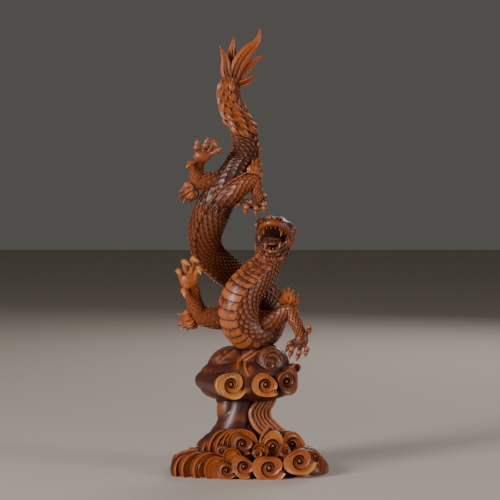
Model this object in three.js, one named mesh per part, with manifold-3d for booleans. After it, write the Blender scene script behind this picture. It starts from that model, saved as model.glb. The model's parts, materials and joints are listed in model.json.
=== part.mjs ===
// A carved boxwood dragon that comes down head first out of the air onto a plinth of rolling clouds.
// Dragon and clouds are carved from one log, so the whole work is one solid.
// Millimetres, +Z up, the front faces -Y, the origin is under the middle of the base.
import * as THREE from "three";
import Module from "manifold-3d";

// ---------- driving dimensions ----------
const HEIGHT = 210; // floor to the tip of the longest tail flame
const BASE_HALF_DEPTH = 30; // the foot of the clouds along Y
const BODY_STEPS = 56; // rings along the body; every second one is the tip of a crest fin
const CREST = 1.6; // how far a crest fin stands off the back
const CREST_LEAN = 1.7; // how far its tip leans towards the tail
const PLATE_STEP = 0.07; // depth of a belly plate's edge, as a share of the body's radius
const LIMB_STEPS = 8;
const LIMB_SIDES = 6;
const DIGIT_STEPS = 3;
const DIGIT_SIDES = 4;
const BLADE_STEPS = 3;
const SCROLL_SPOKES = 7; // points on one turn of a cloud scroll
const SCROLL_TURNS = 1.3; // from the scroll's start in to its knob
const GROOVE_DEPTH = 1.7; // of a scroll
const KNOB_DEPTH = 0.7; // how far the middle of a scroll lies behind its rim
const SHELL_SIDES = 7; // of a shell's log

// The spine from the tail to the skull: place, half thickness, and the way the crest points there.
const SPINE = [
  { at: [-9, 0, 186], r: 3.8, crest: [-0.8, -0.6, 0] },
  { at: [-9.5, 0, 178], r: 4.5, crest: [-0.85, -0.5, 0] },
  { at: [-7, -1, 170], r: 5.2, crest: [-0.85, -0.5, 0] },
  { at: [-4, -1, 162.5], r: 5.5, crest: [0, -1, 0] },
  { at: [-2, 0, 155], r: 5.9, crest: [0.85, -0.5, 0] },
  { at: [-3, 1, 148.5], r: 6.6, crest: [0.95, -0.3, 0] },
  { at: [-5.5, 0, 142.5], r: 7.3, crest: [0.6, -0.8, 0] },
  { at: [-10.5, -2, 135.5], r: 7.6, crest: [0.05, -1, 0] },
  { at: [-15.5, -3, 127.5], r: 8.1, crest: [-0.25, -0.95, 0.1] },
  { at: [-19.5, -2, 119], r: 8.3, crest: [-0.45, -0.9, 0] },
  { at: [-21.5, 0, 111.5], r: 7.6, crest: [-0.5, -0.85, 0] },
  { at: [-20.5, 3, 104.5], r: 7.1, crest: [-0.6, -0.7, -0.3] },
  { at: [-16, 6, 98.5], r: 6.9, crest: [-0.5, -0.65, -0.6] },
  { at: [-9, 9, 92.5], r: 6.9, crest: [-0.35, -0.75, -0.55] },
  { at: [-1, 11, 88], r: 7.1, crest: [-0.2, -0.9, -0.3] },
  { at: [6, 12, 83], r: 7.6, crest: [-0.3, -0.9, -0.1] },
  { at: [9, 10.5, 76], r: 8.1, crest: [-0.5, -0.8, 0.2] },
  { at: [7.5, 5, 68.5], r: 8.5, crest: [-0.4, -0.5, 0.75] },
  { at: [1, -2, 65.5], r: 8.8, crest: [-0.1, 0.2, 0.95] },
  { at: [-4.5, -7, 71], r: 9.0, crest: [0.35, 0.8, 0.5] },
  { at: [-5.5, -10, 78], r: 8.9, crest: [0.35, 0.95, 0] },
  { at: [-2.6, -11, 86], r: 8.5, crest: [0.3, 0.95, 0.1] },
  { at: [2.8, -10, 92.6], r: 7.7, crest: [0.25, 0.9, 0.3] },
  { at: [7.6, -9, 98.5], r: 6.6, crest: [0.1, 0.95, 0.2] },
  { at: [10.2, -8, 104], r: 6.4, crest: [0, 0.95, 0.3] },
  { at: [11, -4.5, 109], r: 6.2, crest: [0, 0.8, 0.6] },
];

// Each limb: its bones from the body to the wrist or ankle with their half thickness, the palm,
// its digits as root, knuckle and claw tip, and the tuft of flames at the elbow or knee.
const LIMBS = {
  left_arm: {
    bones: [
      [-6.5, -6, 73, 6],
      [-12, -6, 72.8, 5.5],
      [-18, -6, 73, 5],
      [-23.5, -6, 74.5, 4.4],
      [-26.2, -7, 81, 3.5],
      [-26.8, -9, 87, 2.8],
    ],
    palm: { at: [-28.7, -11, 91.3], size: [4.3, 2.6, 4.6] },
    digits: [
      [[-31.5, -11, 90], [-33, -13, 94], [-32.8, -14.5, 98]],
      [[-30, -11.5, 93], [-29.8, -14.5, 99.8], [-30.6, -17, 95.8]],
      [[-27.5, -11.5, 93.5], [-26.6, -14, 101], [-27, -16.8, 96.6]],
      [[-25.6, -11, 92], [-22.6, -12.5, 98], [-24.4, -15.6, 94.6]],
      [[-29, -11.5, 88.5], [-31.2, -14.5, 86.6], [-31.5, -16, 83.4]],
    ],
    tuft: {
      root: [-25.5, -6, 73],
      tips: [[-34.4, -6, 75], [-34.6, -7, 69.2], [-30.4, -5, 66.4]],
    },
  },
  right_arm: {
    bones: [
      [1.5, -4, 71.5, 6.2],
      [6, -5.5, 71, 5.2],
      [10, -6, 71.6, 4.6],
      [14.6, -6, 74.3, 3.9],
      [18, -6, 76.8, 3.4],
      [20.8, -7, 72.3, 3],
      [23.3, -8, 67, 2.5],
    ],
    palm: { at: [24.3, -9, 63], size: [3.2, 2.3, 3.6] },
    digits: [
      [[25, -9, 61.5], [26.6, -11.4, 58.6], [25.4, -12.6, 54.8]],
      [[23.6, -9, 60.5], [23, -11.6, 57], [21.6, -11.6, 52.8]],
      [[22.4, -8.5, 61.5], [19.6, -10.6, 58.6], [18.4, -10.4, 53.8]],
      [[22.4, -8, 63], [18.6, -8.6, 61], [16.8, -7.8, 56.4]],
      [[25.3, -9, 64.5], [27.8, -10.6, 67.4], [27.6, -11.8, 71]],
    ],
    tuft: {
      root: [18.2, -6, 79],
      tips: [[13.8, -6, 86], [17.8, -7, 88.2], [23.2, -6, 84.4]],
    },
  },
  left_leg: {
    bones: [
      [-10, -2, 136.2, 6.4],
      [-15, -3, 136.8, 5.4],
      [-20, -4.5, 137, 4.5],
      [-24.4, -5, 138, 3.7],
      [-24.9, -6, 143, 3],
      [-23.8, -8, 146.6, 2.7],
    ],
    palm: { at: [-22.3, -10, 149], size: [4.3, 2.5, 3.1] },
    digits: [
      [[-25, -10, 149.5], [-25, -11.6, 153], [-24.3, -12, 156.9]],
      [[-22, -10, 150.5], [-20.8, -12, 154], [-19.5, -12.2, 157.8]],
      [[-19.6, -10, 150.5], [-16.6, -11.8, 155.8], [-15.4, -14.2, 153]],
      [[-20, -10, 149], [-15.4, -11.6, 151.2], [-13.6, -14, 152.4]],
      [[-24, -10, 147.4], [-28, -12, 145.4], [-29.2, -14, 143.2]],
    ],
    tuft: {
      root: [-25.8, -5, 134.6],
      tips: [[-33.6, -6, 132.6], [-33.8, -5, 127.9], [-29, -4, 125.9]],
    },
  },
  right_leg: {
    bones: [
      [-14, -6, 128.8, 6],
      [-8.4, -9, 131.6, 4.8],
      [-2, -9.5, 135.8, 4],
      [2, -9, 137, 3.3],
      [3, -8.6, 133, 2.7],
      [3.8, -9, 129.5, 2.4],
    ],
    palm: { at: [2, -9.5, 126.8], size: [3.6, 2.3, 2.9] },
    digits: [
      [[4, -9.5, 126.5], [6.6, -12, 126.4], [6.4, -12.6, 122.6]],
      [[2.6, -10, 126], [3, -12.8, 124.6], [2.8, -12.4, 120.6]],
      [[0.6, -10, 126], [-1.6, -12.4, 125.2], [-2.4, -11.6, 121.4]],
      [[0.2, -9.5, 127.5], [-4, -9, 128.4], [-6.4, -8.6, 124.2]],
      [[3.6, -9.5, 128], [6.8, -9, 130.6], [7.4, -8.4, 127.2]],
    ],
    tuft: {
      root: [2, -8, 139.5],
      tips: [[4.8, -7, 148.4], [1.2, -7, 147.4], [6.4, -7, 144.4]],
    },
  },
};

// The tail's flames: route, half width in the middle.
const FLAMES = [
  { route: [[-9, -1, 183], [-12.4, -1.6, 190], [-12.4, -2, 196], [-14.2, -2, 201]], width: 1.7 },
  { route: [[-8.6, 0.6, 184], [-9.4, 2, 192], [-8.8, 2, 199], [-7.2, 2, 206.4]], width: 2 },
  { route: [[-8, -0.6, 184], [-4.4, -1, 193], [2.6, 0, 201], [4.8, 0, HEIGHT - 0.05]], width: 3 },
  { route: [[-7, -0.6, 184], [-2, 0, 190.4], [3, 0, 194.2], [7.6, 0, 196.4]], width: 1.8 },
  { route: [[-7, -1.2, 182], [-3, -1.2, 185.2], [0, -1, 185.8], [3, -1, 188]], width: 1.5 },
  { route: [[-9, 1.4, 183], [-10.4, 5, 189], [-8.4, 7, 194.6], [-9.6, 7.4, 200]], width: 1.8 },
  { route: [[-8, 1.6, 183], [-4.6, 5, 188], [-2, 6.4, 193.6], [1, 6.4, 199]], width: 1.9 },
];

// Cloud scrolls: the middle of the pit in the carved face, its radius, the way it faces in degrees from
// the front (positive to the right), how far the log runs back, and where the spiral starts and winds.
const SCROLLS = [
  // upper bank, front then back
  { at: [-8.2, -22.2, 43.2], r: 8.6, facing: 28, run: 28, start: -28, wind: -1 },
  { at: [7.4, -22.6, 43.2], r: 7.4, facing: 0, run: 18, start: -40, wind: -1 },
  { at: [17.6, -18.8, 44.2], r: 7.2, facing: 26, run: 18, start: 78, wind: -1 },
  { at: [-15, 13.4, 43.4], r: 8.2, facing: 205, run: 16, start: 200, wind: -1 },
  { at: [10, 15, 43.4], r: 8, facing: 155, run: 16, start: -40, wind: 1 },
  // lower bank, along the floor
  { at: [-10.8, -28, 4.2], r: 5.4, facing: -4, run: 14, start: -30, wind: -1 },
  { at: [-2.8, -28.6, 6], r: 6.6, facing: 0, run: 15, start: -60, wind: -1 },
  { at: [9, 0.51 - BASE_HALF_DEPTH, 5.4], r: 8.8, facing: 5, run: 16, start: -20, wind: -1 },
  { at: [23.2, -27.2, 8.4], r: 8.4, facing: 16, run: 16, start: -8, wind: -1 },
  { at: [-20, 21, 6.4], r: 8.4, facing: 215, run: 14, start: 20, wind: 1 },
  { at: [0, BASE_HALF_DEPTH, 6.6], r: 8.4, facing: 180, run: 16, start: 190, wind: 1 },
  { at: [20, 22, 6.4], r: 8.4, facing: 145, run: 14, start: 160, wind: -1 },
  // lower bank, second row
  { at: [-3.5, -22.6, 15.6], r: 6.4, facing: -4, run: 13, start: -50, wind: -1 },
  { at: [10.9, -22.6, 14.4], r: 7.6, facing: 6, run: 14, start: 234, wind: -1 },
  { at: [20, -17.6, 14.6], r: 7, facing: 24, run: 12, start: -10, wind: 1 },
  { at: [-6, 21, 15], r: 7.2, facing: 190, run: 12, start: 60, wind: 1 },
];

// Logs with plain ends that stand behind one another like fanned cards.
const SHELLS = [
  // left end of the bank, from the front backwards
  { at: [-16.4, -25.4, 4.4], r: 6.8, facing: -14, run: 12 },
  { at: [-21.4, -16, 2.4], r: 9.4, facing: -45, run: 12 },
  { at: [-27.4, -8, 1.4], r: 10, facing: -50, run: 12 },
  { at: [-31.6, -1.4, 0.6], r: 9, facing: -55, run: 10 },
  { at: [-35.45, 5.2, 0.1], r: 7, facing: -62, run: 8 },
  // above it, beside the foot of the waist
  { at: [-7, -20, 13.2], r: 8.6, facing: -8, run: 10 },
  { at: [-9.6, -18.4, 13.2], r: 9.8, facing: -14, run: 10 },
  { at: [-13, -11.4, 11.5], r: 11.2, facing: -35, run: 10 },
  { at: [-18, -4.2, 9.4], r: 10.6, facing: -50, run: 9 },
  { at: [-21, 1.6, 8], r: 9.6, facing: -56, run: 8 },
  // right end
  { at: [29, -16.6, 3.6], r: 7.6, facing: 36, run: 9 },
  // behind
  { at: [30.6, 6, 3], r: 7.4, facing: 115, run: 8 },
  { at: [9.6, 19.8, 13.4], r: 7.4, facing: 168, run: 10 },
  { at: [-13.4, 17.4, 13.4], r: 7.4, facing: 205, run: 10 },
  // small ones that fill the corners
  { at: [-13, -23.4, 12.3], r: 3.4, facing: -5, run: 8 },
  { at: [3.2, -27, 11.6], r: 2.8, facing: 0, run: 8 },
  { at: [31, -17, 8], r: 3.4, facing: 40, run: 8 },
  { at: [9, -15.8, 51.8], r: 3.2, facing: 4, run: 6 },
];

// ---------- solids ----------
const wasm = await Module();
wasm.setup();

const vec = ([x, y, z]) => new THREE.Vector3(x, y, z);
const lerp = THREE.MathUtils.lerp;
const radians = THREE.MathUtils.degToRad;

// A closed solid from vertices that are shared between faces; it is turned right side out if need be.
function toSolid(points, triangles) {
  const volume = triangles.reduce((sum, [a, b, c]) => {
    const cross = points[b].clone().cross(points[c]);
    return sum + points[a].dot(cross);
  }, 0);
  const facing = volume < 0 ? triangles.map(([a, b, c]) => [a, c, b]) : triangles;
  return new wasm.Manifold(
    new wasm.Mesh({
      numProp: 3,
      vertProperties: new Float32Array(points.flatMap((p) => [p.x, p.y, p.z])),
      triVerts: new Uint32Array(facing.flat()),
    }),
  );
}

// A solid over rings of equally many points, closed at both ends by a fan.
function skin(rings) {
  const count = rings[0].length;
  const points = rings.flat();
  const triangles = [];
  for (let k = 0; k < rings.length - 1; k++)
    for (let i = 0; i < count; i++) {
      const a = k * count + i;
      const b = k * count + ((i + 1) % count);
      triangles.push([a, b, b + count], [a, b + count, a + count]);
    }
  for (const k of [0, rings.length - 1]) {
    const middle = rings[k].reduce((sum, p) => sum.add(p), new THREE.Vector3());
    points.push(middle.divideScalar(count));
    for (let i = 0; i < count; i++) {
      const [a, b] = [k * count + i, k * count + ((i + 1) % count)];
      triangles.push(k ? [points.length - 1, a, b] : [points.length - 1, b, a]);
    }
  }
  return toSolid(points, triangles);
}

// Sweeps a section along a smooth route. sectionAt(share, r, ring) gives the section's points as
// [up, across, along], where up is the way that the stop's up vector points.
function sweep(stops, steps, sectionAt) {
  const curve = (key) => new THREE.CatmullRomCurve3(stops.map(key), false, "centripetal");
  const smooth = (key) => new THREE.CatmullRomCurve3(stops.map(key), false, "catmullrom");
  const route = curve((s) => vec(s.at));
  const sizes = smooth((s) => new THREE.Vector3(s.r, 0, 0));
  const ups = smooth((s) => vec(s.up));
  const rings = [];
  for (let k = 0; k <= steps; k++) {
    const share = k / steps;
    const t = route.getUtoTmapping(share);
    const centre = route.getPoint(t);
    const along = route.getTangent(t);
    const up = ups.getPoint(t).projectOnPlane(along).normalize();
    const across = along.clone().cross(up);
    rings.push(
      sectionAt(share, sizes.getPoint(t).x, k).map(([u, a, l]) =>
        centre.clone().addScaledVector(up, u).addScaledVector(across, a).addScaledVector(along, l),
      ),
    );
  }
  return skin(rings);
}

// A round or oval section: half height r, half width r * wide.
const oval = (r, wide, sides) =>
  Array.from({ length: sides }, (_, i) => {
    const angle = (2 * Math.PI * i) / sides;
    return [r * Math.cos(angle), r * wide * Math.sin(angle), 0];
  });

// A limb, horn, claw or neck: stops are [x, y, z, half thickness].
const taper = (stops, steps, sides, { wide = 1, up = [0, -1, 0.2] } = {}) =>
  sweep(
    stops.map(([x, y, z, r]) => ({ at: [x, y, z], r, up })),
    steps,
    (_, r) => oval(r, wide, sides),
  );

// A flame, tuft or lock of hair: a pointed blade with a ridge down its middle.
function blade(route, width, up = [0, -1, 0]) {
  const stops = route.map((at) => ({ at, r: width, up }));
  return sweep(stops, BLADE_STEPS, (share) => {
    const half = width * Math.max(0.06, Math.sin(Math.PI * (0.28 + 0.72 * share)));
    const thick = lerp(0.62, 0.3, share) * half + 0.12;
    return [[thick, 0, 0], [0, half, 0], [-thick, 0, 0], [0, -half, 0]];
  });
}

// An egg-shaped lump.
function lump(at, [rx, ry, rz], across = 6, down = 4) {
  const rings = [];
  for (let k = 1; k < down; k++) {
    const polar = (Math.PI * k) / down;
    rings.push(
      oval(Math.sin(polar), 1, across).map(([u, a]) =>
        vec(at).add(new THREE.Vector3(rx * u, ry * a, rz * Math.cos(polar))),
      ),
    );
  }
  return skin(rings);
}

// ---------- the dragon ----------
// The body's section: a crest fin at angle 0, round flanks, and belly plates that step at their edges.
const BODY_ANGLES = [0, 14, 46, 80, 112, 146, 180, 214, 248, 280, 314, 346];

function bodySection(share, r, ring) {
  const tip = ring % 2 === 1;
  return BODY_ANGLES.map((degrees) => {
    const fin = degrees === 0;
    const belly = Math.abs(degrees - 180) < 50;
    const size = fin && tip ? r + CREST : belly && tip ? r * (1 - PLATE_STEP) : r;
    const angle = radians(degrees);
    return [size * Math.cos(angle), size * Math.sin(angle), fin && tip ? -CREST_LEAN : 0];
  });
}

const body = () =>
  sweep(SPINE.map(({ at, r, crest }) => ({ at, r, up: crest })), BODY_STEPS, bodySection);

// One finger or toe: thin at the root, a knuckle, a pad, and a hooked claw.
function digit([root, knuckle, tip]) {
  const [a, b, c] = [vec(root), vec(knuckle), vec(tip)];
  const pad = b.clone().lerp(c, 0.55).toArray();
  return taper(
    [
      [...a.toArray(), 1.15],
      [...a.clone().lerp(b, 0.6).toArray(), 1.05],
      [...b.toArray(), 1.4],
      [...pad, 1.15],
      [...c.toArray(), 0.2],
    ],
    DIGIT_STEPS,
    DIGIT_SIDES,
  );
}

// A tuft: blades that leave one root and bow apart on the way to their tips.
function tuft({ root, tips }) {
  const base = vec(root);
  const middle = tips.reduce((sum, tip) => sum.add(vec(tip)), new THREE.Vector3());
  middle.divideScalar(tips.length);
  const blades = tips.map((tip) => {
    const bow = base.clone().lerp(vec(tip), 0.5).lerp(vec(tip).sub(middle).add(base), 0.22);
    const start = base.clone().lerp(middle, -0.12);
    return blade([start.toArray(), bow.toArray(), tip], 2.1);
  });
  return blades;
}

function limb({ bones, palm, digits, tuft: flames }) {
  return [
    taper([...bones, [...palm.at, palm.size[1]]], LIMB_STEPS, LIMB_SIDES),
    lump(palm.at, palm.size),
    ...digits.map(digit),
    ...tuft(flames),
  ];
}

// The head looks at the viewer with its jaws wide open, so both jaws run forwards, one up and one down.
function head() {
  const up = [0, 0.35, 1];
  const upperJaw = sweep(
    [
      { at: [11.4, -1, 112.8], r: 6.6, up },
      { at: [11.4, -8, 114.8], r: 5.2, up },
      { at: [11.4, -14, 116.6], r: 3.4, up },
      { at: [11.3, -19, 118], r: 2.3, up },
      { at: [11.3, -21.2, 118.6], r: 1.3, up },
    ],
    5,
    (share, r) => oval(r, lerp(1.25, 2.4, share), 8),
  );
  const lowerJaw = sweep(
    [
      { at: [11.2, -2, 106.8], r: 4.6, up },
      { at: [11, -9, 105.2], r: 3.3, up },
      { at: [10.6, -15, 103.6], r: 2.1, up },
      { at: [10.4, -19.6, 103.4], r: 1.1, up },
    ],
    4,
    (share, r) => oval(r, lerp(1.5, 2.8, share), 8),
  );
  const upperLip = taper(
    [
      [4.2, -8, 111, 1.5],
      [4.8, -14, 115, 1.2],
      [6.8, -19, 117.2, 1.1],
      [10, -21.2, 118.2, 1.2],
      [13.4, -20.8, 117.8, 1.2],
      [16.4, -18, 115.6, 1.1],
      [18.4, -13.5, 112.4, 1.2],
      [18.8, -8, 109.4, 1.5],
    ],
    8,
    4,
  );
  const lowerLip = taper(
    [
      [4.2, -8, 108.6, 1.3],
      [5.4, -14, 106.8, 1],
      [7.6, -18.4, 105.4, 0.9],
      [10.2, -20.2, 104.7, 1],
      [12.8, -19, 105, 0.9],
      [15.6, -15, 106.4, 1],
      [18.4, -8, 108.6, 1.3],
    ],
    7,
    4,
  );
  const tongue = taper(
    [
      [10.6, -6, 107, 1.4],
      [10.4, -11, 108, 1.3],
      [10, -16, 108.8, 1],
      [9.8, -18.6, 107.6, 0.6],
    ],
    4,
    5,
    { wide: 2.2, up },
  );
  const fangs = [
    [[6.5, -17.6, 116.6, 1], [6.3, -17, 112.6, 0.2]],
    [[14.6, -18.4, 116.2, 1], [14.4, -17.8, 111.6, 0.2]],
    [[7.2, -17.4, 105.4, 0.9], [7, -17.8, 108.8, 0.2]],
    [[13.6, -17, 105.6, 0.9], [14, -17.4, 109, 0.2]],
  ].map((stops) => taper(stops, 1, 4));
  const horns = [
    [[8, -4, 118, 1.9], [6.6, 4, 118.8, 1.6], [5, 10.6, 116.8, 1.2], [4.2, 15.6, 112.4, 0.4]],
    [[15.2, -4, 117, 1.9], [17, 4, 117.2, 1.6], [18.8, 10.4, 114.8, 1.2], [19.2, 15, 110.4, 0.4]],
  ].map((stops) => taper(stops, 5, 5));
  const brows = [
    [[7.8, -15, 118.6, 1.1], [5.4, -11.4, 119, 1.5], [4, -6, 118, 1.2]],
    [[15.2, -15, 118.2, 1.1], [18, -11.4, 117, 1.5], [19.8, -6, 115, 1.2]],
  ].map((stops) => taper(stops, 3, 4));
  const lumps = [
    lump([11.4, -1.5, 111.4], [8.8, 7.6, 8.4], 9, 6), // skull
    lump([9.3, -19, 119.8], [1.8, 1.8, 1.6]), // nostrils
    lump([13.5, -18.8, 119.4], [1.8, 1.8, 1.6]),
    lump([3.8, -7, 110.6], [2.2, 3.4, 3.2]), // cheeks
    lump([19, -7, 109.6], [2.2, 3.4, 3.2]),
    lump([11.4, -10, 118.6], [2.4, 6.4, 2.2]), // ridge of the nose
  ];
  const mane = [-2, -1, 0, 1, 2].map((i) =>
    blade(
      [
        [11.3 + 2.6 * i, 1.5, 114 - 1.4 * Math.abs(i)],
        [11.2 + 4 * i, 8, 110.5 - 1.4 * Math.abs(i)],
        [10.8 + 4.4 * i, 8.6 - 0.8 * Math.abs(i), 103 + 0.8 * Math.abs(i)],
        [10.6 + 4.2 * i, 5.2, 98 + 1.4 * Math.abs(i)],
      ],
      2.8,
      [0, 1, 0.5],
    ),
  );
  const beard = [-1, 0, 1].map((i) =>
    blade(
      [
        [10.6 + 2.4 * i, -15, 104],
        [10.8 + 3 * i, -17.6, 101.6],
        [11 + 3.4 * i, -16.6, 98.4 + Math.abs(i)],
      ],
      1.6,
    ),
  );
  const ears = [
    blade([[5, -3, 114], [2, 0, 116], [-0.4, 3, 115.4]], 1.7, [0, -0.4, 1]),
    blade([[18, -3, 112.6], [21.4, 0, 113.6], [23, 3, 112]], 1.7, [0, -0.4, 1]),
  ];
  return [
    upperJaw, lowerJaw, upperLip, lowerLip, tongue,
    ...fangs, ...horns, ...brows, ...lumps, ...mane, ...beard, ...ears,
  ];
}

// ---------- the clouds ----------
// A level ring, oval, with shallow flutes that turn with the height where twist is given.
function cloudRing(z, [cx, cy], [rx, ry], { flute = 0, twist = 0, sides = 12 } = {}) {
  return Array.from({ length: sides }, (_, i) => {
    const angle = (2 * Math.PI * i) / sides + twist;
    const reach = i % 2 ? 1 - flute : 1;
    return vec([cx + rx * reach * Math.cos(angle), cy + ry * reach * Math.sin(angle), z]);
  });
}

// The lower cloud bank, the fluted waist that rises from it, and the upper bank under the dragon.
function cloudCore() {
  const bank = skin([
    cloudRing(0, [3.6, 0], [31, 22]),
    cloudRing(2.4, [3.6, 0], [30.4, 21]),
    cloudRing(10, [2, 0], [24.4, 18]),
    cloudRing(19, [-1.5, 0], [17, 13.6]),
    cloudRing(21.6, [-2, 0], [13.5, 11.5]),
  ]);
  const waist = skin([
    cloudRing(17, [-2.5, 0], [16, 12.5], { flute: 0.1, sides: 16 }),
    cloudRing(21, [-3, 0], [13.8, 11.5], { flute: 0.16, twist: 0.15, sides: 16 }),
    cloudRing(25.5, [-3.6, 0], [12.6, 10.5], { flute: 0.16, twist: 0.4, sides: 16 }),
    cloudRing(30, [-3.2, 0], [12.4, 10.5], { flute: 0.16, twist: 0.65, sides: 16 }),
    cloudRing(36, [-2.2, 0], [15, 12], { flute: 0.1, twist: 0.8, sides: 16 }),
  ]);
  const tray = skin([
    cloudRing(34.5, [-2, -2], [15, 12]),
    cloudRing(38.5, [-2, -1.5], [21.5, 17]),
    cloudRing(47.5, [-2, -1.5], [21.5, 17]),
    cloudRing(53, [-1.5, -1], [14, 11]),
  ]);
  const humps = [
    lump([9.4, -4.6, 49.4], [9.4, 10.6, 10.8], 9, 6),
    lump([-8, 0, 47], [12.8, 13, 12.3], 9, 6),
    lump([1, -3, 50], [9, 9, 9.4], 8, 5),
  ];
  return [bank, waist, tray, ...humps];
}

// The way an upright face looks, and its own right-hand side.
function facingAxes(facing) {
  const outwards = new THREE.Vector3(Math.sin(radians(facing)), -Math.cos(radians(facing)), 0);
  return [outwards, new THREE.Vector3(-outwards.y, outwards.x, 0)];
}

// One shell: a log with a bevelled end.
function shell({ at, r, facing, run }) {
  const [outwards, sideways] = facingAxes(facing);
  const profile = [
    [0.93 * r, 0],
    [r, 0.6],
    [0.9 * r, run],
  ];
  const rings = profile.map(([reach, depth]) =>
    Array.from({ length: SHELL_SIDES }, (_, i) => {
      const angle = (2 * Math.PI * i) / SHELL_SIDES;
      return vec(at)
        .addScaledVector(sideways, reach * Math.cos(angle))
        .addScaledVector(outwards, -depth)
        .add(new THREE.Vector3(0, 0, reach * Math.sin(angle)));
    }),
  );
  return skin(rings);
}

// One scroll: a log whose front face is carved as a spiral that winds in and down to a round knob.
function scroll({ at, r, facing, run, start, wind }) {
  const turn = SCROLL_SPOKES;
  const total = Math.round(turn * SCROLL_TURNS);
  const [outwards, sideways] = facingAxes(facing);
  const place = (radius, k, depth) => {
    const angle = radians(start) + (wind * 2 * Math.PI * k) / turn;
    return vec(at)
      .addScaledVector(sideways, radius * Math.cos(angle))
      .addScaledVector(outwards, -depth)
      .add(new THREE.Vector3(0, 0, radius * Math.sin(angle)));
  };
  // The first turn is the lobed outline and shrinks slowly; then the band winds in fast to the knob.
  const edgeRadius = (k) => {
    const u = k / turn;
    const outline = 1 - 0.36 * u ** 1.6 + 0.07 * Math.cos(4 * Math.PI * (u - 0.43));
    return r * (u < 1 ? outline : 0.56 * Math.exp(-0.9 * (u - 1)));
  };
  const points = [];
  const add = (p) => points.push(p) - 1;
  // Back ring, rim ring, then the edge of the band and the foot of the groove inside it, turn by turn.
  const back = [], rim = [], edge = [], groove = [];
  for (let k = 0; k < turn; k++) {
    back.push(add(place(edgeRadius(k), k, run)));
    rim.push(add(place(edgeRadius(k), k, 0.8)));
  }
  for (let k = 0; k <= total; k++) {
    edge.push(add(place(edgeRadius(k) - 0.4, k, (0.6 * k) / total)));
    groove.push(add(place(edgeRadius(k + turn * 0.96) + 0.3, k, GROOVE_DEPTH)));
  }
  const triangles = [];
  const quad = (a, b, c, d) => triangles.push([a, b, c], [a, c, d]);
  const backMiddle = add(vec(at).addScaledVector(outwards, -run));
  const knob = add(vec(at).addScaledVector(outwards, -KNOB_DEPTH));
  for (let k = 0; k < turn; k++) {
    const next = (k + 1) % turn;
    triangles.push([backMiddle, back[next], back[k]]);
    quad(back[k], back[next], rim[next], rim[k]);
    if (k < turn - 1) quad(rim[k], rim[k + 1], edge[k + 1], edge[k]);
  }
  for (let k = 0; k < total; k++) {
    quad(edge[k], edge[k + 1], groove[k + 1], groove[k]);
    if (k + turn < total) quad(groove[k], groove[k + 1], edge[k + 1 + turn], edge[k + turn]);
    else triangles.push([groove[k], groove[k + 1], knob]);
  }
  // The step where the spiral's outer end meets the start of its second turn.
  triangles.push([rim[turn - 1], rim[0], edge[turn - 1]], [rim[0], edge[turn], edge[turn - 1]]);
  triangles.push([rim[0], edge[0], groove[0]], [rim[0], groove[0], edge[turn]]);
  triangles.push([groove[total], edge[total], knob], [edge[total], groove[total - turn], knob]);
  return toSolid(points, triangles);
}

// Both ends of the lower bank run out in low swells.
const swells = () => [
  lump([-22, 9, 1], [12, 11, 9], 8, 5),
  lump([27, -6, 1], [11.2, 13, 9.6], 8, 6),
  lump([24, 8, 2], [11, 12, 9], 8, 5),
];

// ---------- one piece ----------
const box = (size, at) => {
  const corners = [];
  for (const x of [-1, 1]) for (const y of [-1, 1]) for (const z of [-1, 1])
    corners.push(vec([at[0] + (x * size[0]) / 2, at[1] + (y * size[1]) / 2, at[2] + (z * size[2]) / 2]));
  const faces = [[0, 1, 3, 2], [4, 6, 7, 5], [0, 4, 5, 1], [2, 3, 7, 6], [0, 2, 6, 4], [1, 5, 7, 3]];
  return toSolid(corners, faces.flatMap(([a, b, c, d]) => [[a, b, c], [a, c, d]]));
};

const pieces = [
  body(),
  ...FLAMES.map(({ route, width }) => blade(route, width)),
  ...Object.values(LIMBS).flatMap(limb),
  ...head(),
  ...cloudCore(),
  ...SCROLLS.map(scroll),
  ...SHELLS.map(shell),
  ...swells(),
];
const belowFloor = box([100, 100, 30], [0, 0, -15]);
const joined = wasm.Manifold.union(pieces).subtract(belowFloor);
// Where pieces cross they can shut in a speck of air; only the outer skin is kept.
const carving = joined.decompose().reduce((a, b) => (a.volume() > b.volume() ? a : b));

function toMesh(solid, name, material) {
  const { vertProperties, triVerts, numProp, numVert } = solid.getMesh();
  const position = new Float32Array(numVert * 3);
  for (let i = 0; i < numVert; i++)
    position.set(vertProperties.subarray(i * numProp, i * numProp + 3), i * 3);
  const geometry = new THREE.BufferGeometry();
  geometry.setAttribute("position", new THREE.BufferAttribute(position, 3));
  geometry.setIndex(new THREE.BufferAttribute(triVerts, 1));
  geometry.computeVertexNormals();
  const mesh = new THREE.Mesh(geometry, material);
  mesh.name = name;
  return mesh;
}

const boxwood = new THREE.MeshStandardMaterial({ color: 0x7a3315, roughness: 0.38, metalness: 0 });
const dragon = new THREE.Group();
dragon.add(toMesh(carving, "dragon_carving", boxwood));

export default dragon;
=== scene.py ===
# %% [markdown]
# # A dragon carved from one log of boxwood
# A dragon comes down head first out of the air, coils once, and rears up with open jaws over a bank of
# rolling clouds. Dragon and clouds are one piece of boxwood, stained red-brown, waxed, and rubbed back
# until claws, tufts and scroll faces shine golden. The plain solids are already made. This lesson
# dresses them: scales, belly plates, a crest, teeth, claws, flames and cloud scrolls, all cut with
# code as a carver would cut them with a knife, and then one finish over the whole work.
#
# The frame comes first. Everything that follows is made in millimetres, in the frame's own axes:
# +Z is up, the front faces -Y, and the origin is under the middle of the base.

import json
import math

import bpy
import numpy as np
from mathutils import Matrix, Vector
from mathutils.bvhtree import BVHTree
from mathutils.kdtree import KDTree

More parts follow.
